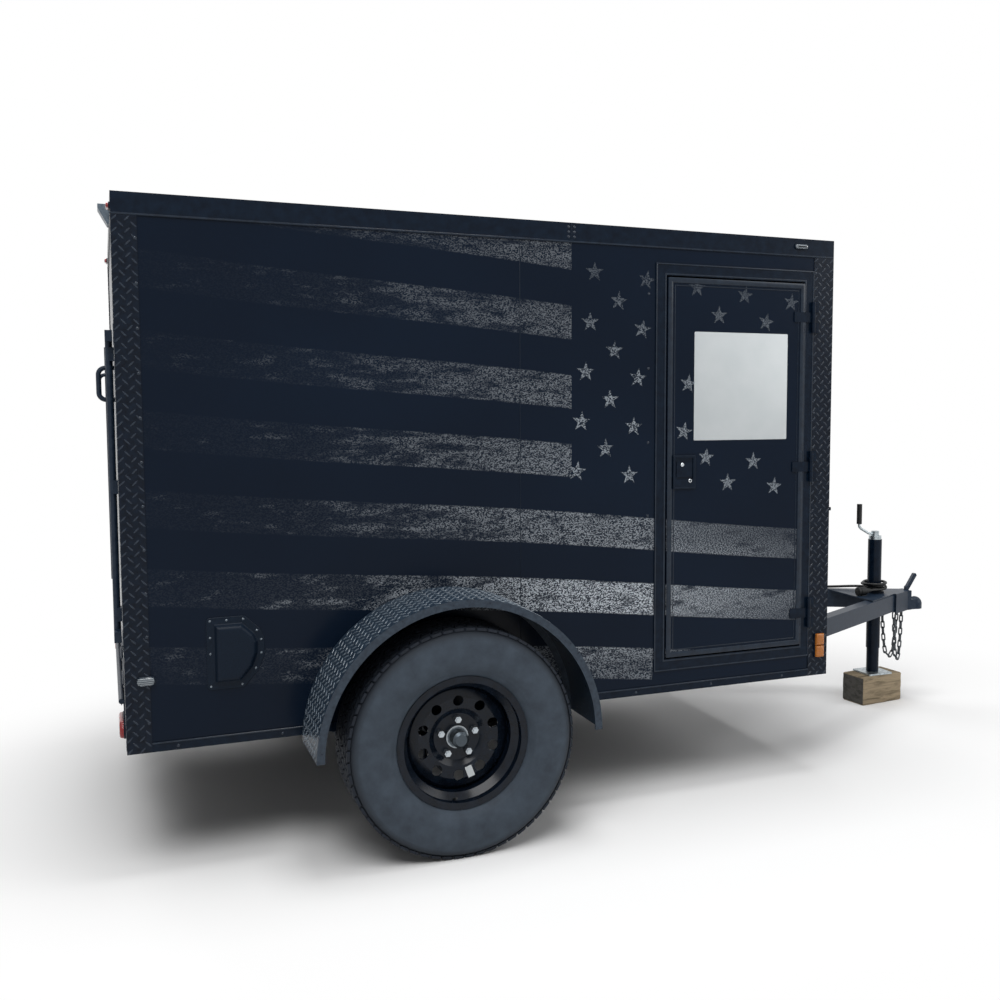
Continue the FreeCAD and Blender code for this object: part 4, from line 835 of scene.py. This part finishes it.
piece("latch_locks", [lock_dot(0.41, 0.72), lock_dot(0.76, 0.24)], chrome, "side_door")
bezel = [(0.0, -0.004), (0.0, 0.0), (0.0015, 0.0012), (0.0045, 0.0012), (0.006, 0.0), (0.006, -0.004)]
latch_at = ((latch_low[0] + latch_high[0]) / 2, latch_low[1], (latch_low[2] + latch_high[2]) / 2)
piece("latch_bezel", [raised(oblong(latch_wide, latch_tall), 0.006, bezel, latch_at, "right", ring=True)],
      lamp_plastic, "side_door")

# %% [markdown]
# The door also carries a square vinyl panel, left blank, and the flag's field of stars runs from the
# wall across the door.  A star is ten triangles about its middle, lifted less than a millimetre.

# %% Blank panel and stars
PANEL_LOW, PANEL_HIGH = np.array([REAR + 1.860, 1.267]), np.array([REAR + 2.243, 1.646])
panel_mid, panel_size = (PANEL_LOW + PANEL_HIGH) / 2, PANEL_HIGH - PANEL_LOW
piece("blank_door_panel", [raised(oblong(*panel_size), 0.004, [(0, -0.0004), (0, 0.0007), (0.0003, 0.0009)],
                                  (panel_mid[0], -HALF, panel_mid[1]), "right", count=4)],
      blank_panel, "side_door")
STAR_OUT, STAR_IN, STAR_LIFT, STAR_SUNK = 0.034, 0.0132, 0.0005, -0.0003
STAR_GAP, SLAB_EDGE = 0.02, 0.03
STAR_X, STAR_Z, STAR_ACROSS, STAR_DOWN = REAR + 1.821, 1.299, 0.097, 0.083
point_turn = np.pi / 2 + np.arange(10) * np.pi / 5
reach = np.where(np.arange(10) % 2 == 0, STAR_OUT, STAR_IN)
rim = np.stack([reach * np.cos(point_turn), reach * np.sin(point_turn)], 1)
star_points = np.concatenate([np.column_stack([rim, np.full(10, STAR_SUNK)]),
                              np.column_stack([rim, np.full(10, STAR_LIFT)]),
                              [[0, 0, STAR_LIFT], [0, 0, STAR_SUNK]]])
k = np.arange(10)
star = (star_points, [np.stack([k, (k + 1) % 10, (k + 1) % 10 + 10, k + 10], 1),
                      np.stack([k + 10, (k + 1) % 10 + 10, np.full(10, 20)], 1),
                      np.stack([(k + 1) % 10, k, np.full(10, 21)], 1)])


def stars(face, skin, columns):
    """Stars of a staggered field: columns and rows whose numbers add to an even sum, on a
    lattice that falls to the front as the stripes do."""
    across, up = FACES[face]
    m, n = (v.ravel() for v in np.meshgrid(columns, np.arange(-6, 3), indexing="ij"))
    x = STAR_X + STAR_ACROSS * m - STRIPE_FALL * STAR_DOWN * n
    z = STAR_Z - STAR_DOWN * n - STRIPE_FALL * STAR_ACROSS * m
    clear_of_panel = ((x < PANEL_LOW[0] - STAR_GAP) | (x > PANEL_HIGH[0] + STAR_GAP)
                      | (z < PANEL_LOW[1] - STAR_GAP) | (z > PANEL_HIGH[1] + STAR_GAP))
    clear_of_latch = ((x > latch_high[0] + STAR_GAP) | (x < latch_low[0] - STAR_GAP)
                      | (z > latch_high[2] + STAR_GAP))
    on_slab = (z < door_high[2] - SLAB_EDGE) | (columns[0] < 0)
    off_post = x < FRONT - FRONT_POST - STAR_OUT
    keep = ((m + n) % 2 == 0) & ((clear_of_panel & clear_of_latch & on_slab) | (face == "left")) & off_post
    m, x, z = m[keep], x[keep], z[keep]
    tilt = (0.10 * np.sin(1.3 * m + 4 * z) - STRIPE_FALL)[:, None]
    places = np.stack([x, np.full(len(x), skin), z], 1)
    return scatter(star, places, np.cos(tilt) * across + np.sin(tilt) * up,
                   np.cos(tilt) * up - np.sin(tilt) * across)


piece("wall_stars", [stars("right", -HALF + SKIN_OUT, np.arange(-4, -1)),
                     stars("left", HALF - SKIN_OUT, np.arange(-4, 6))],
      star_silver)
piece("door_stars", [stars("right", -HALF, np.arange(0, 5))], star_silver, "side_door")

# %% [markdown]
# ## Tyres
# A trailer tyre is a moulded carcass with separate tread blocks.  The carcass is a section turned
# about the axle, with fine rings on the sidewall; the blocks are slanted pads set round it in rows.

# %% Tyres
WHEEL_OUT = float(-(tyre_low[1] + tyre_high[1]) / 2)
CARCASS_HALF = [(0.1908, 0.0770), (0.2085, 0.0770), (0.2130, 0.0850), (0.2225, 0.0945), (0.2455, 0.1080),
                (0.2745, 0.1120), (0.3145, 0.1085), (0.3375, 0.1010), (0.3465, 0.0930), (0.3515, 0.0800),
                (0.3522, 0.0400), (0.3522, 0.0)]
outer = smoothed(CARCASS_HALF, 3)
fine = 0.0006 * (np.abs(outer[:, 0] - 0.2300) < 0.003) + 0.0005 * (np.abs(outer[:, 0] - 0.3290) < 0.0025)
outer[:, 1] += fine
section = np.concatenate([outer, (outer * (1, -1))[-2::-1], [(0.1908, -0.062), (0.2240, -0.080), (0.2600, -0.1020),
                          (0.3190, -0.0980), (0.3400, -0.060), (0.3440, 0.0), (0.3400, 0.060), (0.3190, 0.0980),
                          (0.2600, 0.1020), (0.2240, 0.080), (0.1908, 0.062)]])
BLOCK_ROWS = [(-0.0800, 0.0200, 0.3584), (-0.0500, 0.0290, 0.3588), (-0.0170, 0.0270, 0.3588),
              (0.0170, 0.0270, 0.3588), (0.0500, 0.0290, 0.3588), (0.0800, 0.0200, 0.3584)]
BLOCKS_ROUND, BLOCK_LONG, BLOCK_SLANT, BLOCK_ROOT = 62, 0.0305, 0.0060, 0.3500
block_turn = np.arange(BLOCKS_ROUND) * 2 * np.pi / BLOCKS_ROUND
for side_name, side in SIDES:
    hub = np.array([AXLE, side * WHEEL_OUT, TYRE_RADIUS])
    piece("tyre_carcass_" + side_name, [spun(section, hub, (0, -1, 0), 144, ring=True)], tyre_rubber,
          "wheel_" + side_name, ["tyre_" + side_name], sharp=32)
    parts = []
    for row, (y, wide, top) in enumerate(BLOCK_ROWS):
        half, long = wide / 2, BLOCK_LONG / 2
        slant = BLOCK_SLANT * (-1) ** row
        shape = [(-half, -long - slant), (half, -long + slant), (half, long + slant), (-half, long - slant)]
        block = raised(shape, 0.002, [(-0.001, 0.0), (0, top - BLOCK_ROOT - 0.0008), (0.0008, top - BLOCK_ROOT)],
                       (0, 0, 0), (np.array([1.0, 0, 0]), np.array([0, 1.0, 0])), count=2)
        t = (block_turn + (row % 2) * np.pi / BLOCKS_ROUND)[:, None]
        radial = np.concatenate([np.cos(t), 0 * t, np.sin(t)], 1)
        along_tread = np.concatenate([-np.sin(t), 0 * t, np.cos(t)], 1)
        parts.append(scatter(block, hub + (0, y, 0) + BLOCK_ROOT * radial, [0, 1.0, 0], along_tread))
    piece("tyre_tread_" + side_name, parts, tread_rubber, "wheel_" + side_name, sharp=32)
    valve_turn = np.radians(-98 if side < 0 else -82)
    spoke = np.array([np.cos(valve_turn), 0, np.sin(valve_turn)])
    out = np.array([0, float(side), 0])
    stem = [hub + far * spoke + proud * out
            for far, proud in ((0.186, 0.046), (0.181, 0.058), (0.172, 0.080))]
    piece("valve_stem_" + side_name, [tube(smoothed(stem, 2), 0.0038, 12)], grip_rubber, "wheel_" + side_name)

# %% Blank sticker on the right wheel
STICKER_RADIUS, STICKER_TURN, DISC_SLOPE = 0.116, np.radians(-72), np.radians(12.5)
spoke = np.array([np.cos(STICKER_TURN), 0, np.sin(STICKER_TURN)])
sideways = np.array([-np.sin(STICKER_TURN), 0, np.cos(STICKER_TURN)])
inward = -np.cos(DISC_SLOPE) * spoke + np.array([0, np.sin(DISC_SLOPE), 0])
hub = np.array([AXLE, -WHEEL_OUT, TYRE_RADIUS])
piece("wheel_sticker", [raised(oblong(0.022, 0.034), 0.001, [(0, -0.0012), (0, 0.0004), (0.0003, 0.0006)],
                               hub + STICKER_RADIUS * spoke - (0, 0.0250, 0), (sideways, inward), count=3)],
      blank_panel, "wheel_right")

# %% [markdown]
# ## Vents and lamps
# The flow-through vents are moulded D-shaped covers on a screwed flange.  Lamps are a dark base with
# a domed lens; each lens has ribs from its material and rounded shoulders from its profile.

# %% Side vents
VENT_OUTLINE = np.array([(226, 546), (330, 546), (374, 596), (392, 645), (392, 690), (378, 722), (335, 763),
                         (226, 763)]) / 1000 + (REAR, 0)
VENT_PROFILE = [(0, -0.0005), (0, 0.0024), (0.0010, 0.0032), (0.0200, 0.0032), (0.0225, 0.0050), (0.0270, 0.0180),
                (0.0300, 0.0218), (0.0350, 0.0238), (0.0400, 0.0239)]
covers, screws = [], []
flange = rounded(VENT_OUTLINE, 0.006, 0.010, 2)
screw_at = np.concatenate([flange[::2], [(flange[0] + flange[-1]) / 2],
                           [(flange[0] * 0.25 + flange[-1] * 0.75)], [(flange[-1] + flange[-3]) / 2]])
for face, side in SIDES:
    outline = VENT_OUTLINE if side < 0 else (VENT_OUTLINE * (-1, 1))[::-1]
    covers.append(raised(outline, 0.014, VENT_PROFILE, (0, side * (HALF - SKIN_OUT), 0), face))
    across, up = FACES[face]
    at = np.stack([screw_at[:, 0], np.full(len(screw_at), side * HALF), screw_at[:, 1]], 1)
    screws.append(scatter(dome(0.0036, 0.0018), at, across, up))
piece("vent_covers", covers, lamp_plastic, replaces=["side_vents"])
piece("vent_screws", screws, painted_glint_bright)

# %% Lamps
LENS_DOME = [(0.0, 0.30), (0.0, 0.62), (0.0015, 0.82), (0.004, 0.95), (0.007, 1.0)]
BASE_EDGE = [(0.0, 0.0), (0.0, 0.30), (0.0008, 0.36), (0.0022, 0.36)]


def lamp_parts(face, centre, wide, tall, deep, cells=1, corner=0.004):
    """A base and its lens cells on a face, with heights as shares of the lamp's depth."""
    across, up = FACES[face]
    base = raised(oblong(wide, tall), corner, [(i, h * deep) for i, h in BASE_EDGE], centre, face)
    lenses = []
    cell_tall = (tall - 0.004) / cells
    for cell in range(cells):
        middle = np.asarray(centre) + up * (cell_tall * (cell + 0.5) - (tall - 0.004) / 2)
        lenses.append(raised(oblong(wide - 0.004, cell_tall - 0.001), corner * 0.9,
                             [(i, h * deep) for i, h in LENS_DOME], middle, face))
    return base, lenses


def box_lamps(node, specs, cells, corner, lens_finish):
    """Lamps that stand in for a CAD node: one base piece and one lens piece."""
    bases, lenses = [], []
    for face, centre, wide, tall, deep in specs:
        base, cover = lamp_parts(face, centre, wide, tall, deep, cells, min(corner, 0.49 * min(wide, tall)))
        bases.append(base)
        lenses += cover
    piece(node + "_bases", bases, lamp_plastic)
    return piece(node + "_lenses", lenses, lens_finish, replaces=[node])


MARKER_DEEP, AMBER_DEEP = 0.012, 0.018
box_lamps("amber_markers", [(face, (REAR + 2.3995, side * HALF, 0.493), 0.039, 0.094, AMBER_DEEP)
                            for face, side in SIDES], 2, 0.004, amber_lens)
box_lamps("clear_markers", [(face, (x, side * HALF, z), wide, tall, MARKER_DEEP)
                            for face, side in SIDES
                            for x, z, wide, tall in ((REAR + 0.056, 0.591, 0.052, 0.030),
                                                     (REAR + 2.294, 1.961, 0.056, 0.020))],
          1, 0.014, clear_lens)
tail = [("rear", (REAR, side * 0.6315, 0.434), 0.143, 0.058, 0.018) for side in (-1, 1)]
header = [("rear", (REAR, side * 0.702, 1.955), 0.060, 0.020, MARKER_DEEP) for side in (-1, 1)]
box_lamps("tail_lamps", tail + header, 1, 0.027, red_lens)

# %% [markdown]
# ## Timber block
# The jack stands on an offcut of weathered timber.  Its outline is walked round in small steps and
# drawn up in rings, with shallow hollows and worn edges, and its sawn ends are a darker grey.

# %% Timber block
block_low, block_high = corners("jack_block")
BLOCK_SIZE, BLOCK_TALL, BLOCK_TURN = (0.240, 0.140), 0.13, np.radians(6)
BLOCK_TOP = block_high[2]
across = np.array([np.cos(BLOCK_TURN), np.sin(BLOCK_TURN), 0])
up = np.array([-np.sin(BLOCK_TURN), np.cos(BLOCK_TURN), 0])
outline = rounded(oblong(*BLOCK_SIZE), 0.006, 0, 5)
steps = np.linalg.norm(np.diff(outline, axis=0, append=outline[:1]), axis=1)
walked = np.concatenate([[0], np.cumsum(steps)])
closed = np.concatenate([outline, outline[:1]])
even = np.linspace(0, walked[-1], 220, endpoint=False)
flat = np.stack([np.interp(even, walked, closed[:, axis]) for axis in (0, 1)], 1)
heights = np.array([0, 0.0012, 0.004, 0.02, 0.036, 0.052, 0.068, 0.084, 0.1, 0.116, 0.126, 0.1288, BLOCK_TALL])
wear = np.interp(heights, [0, 0.004, 0.126, BLOCK_TALL], [0.004, 0.0003, 0.0003, 0.004])
hollow = 0.0011 * (1 + np.sin(41 * even[None, :] * 2 + 3 * np.sin(60 * heights[:, None]))) / 2
shrink = 1 - (wear[:, None] + hollow)[..., None] / np.array([BLOCK_SIZE]) * 2
rings = flat[None] * shrink
rings = (rings[..., :1] * across + rings[..., 1:] * up + np.array([JACK, 0, 0])
         + heights[:, None, None] * (BLOCK_TOP / BLOCK_TALL) * np.array([0, 0, 1.0]))
block = piece("timber_block", [loft(rings)], timber, replaces=["jack_block"], sharp=50)
block.data.materials.append(end_grain)
normals = np.zeros(len(block.data.polygons) * 3)
block.data.polygons.foreach_get("normal", normals)
ends = np.abs(normals.reshape(-1, 3) @ across) > 0.8
block.data.polygons.foreach_set("material_index", ends.astype(np.int32))
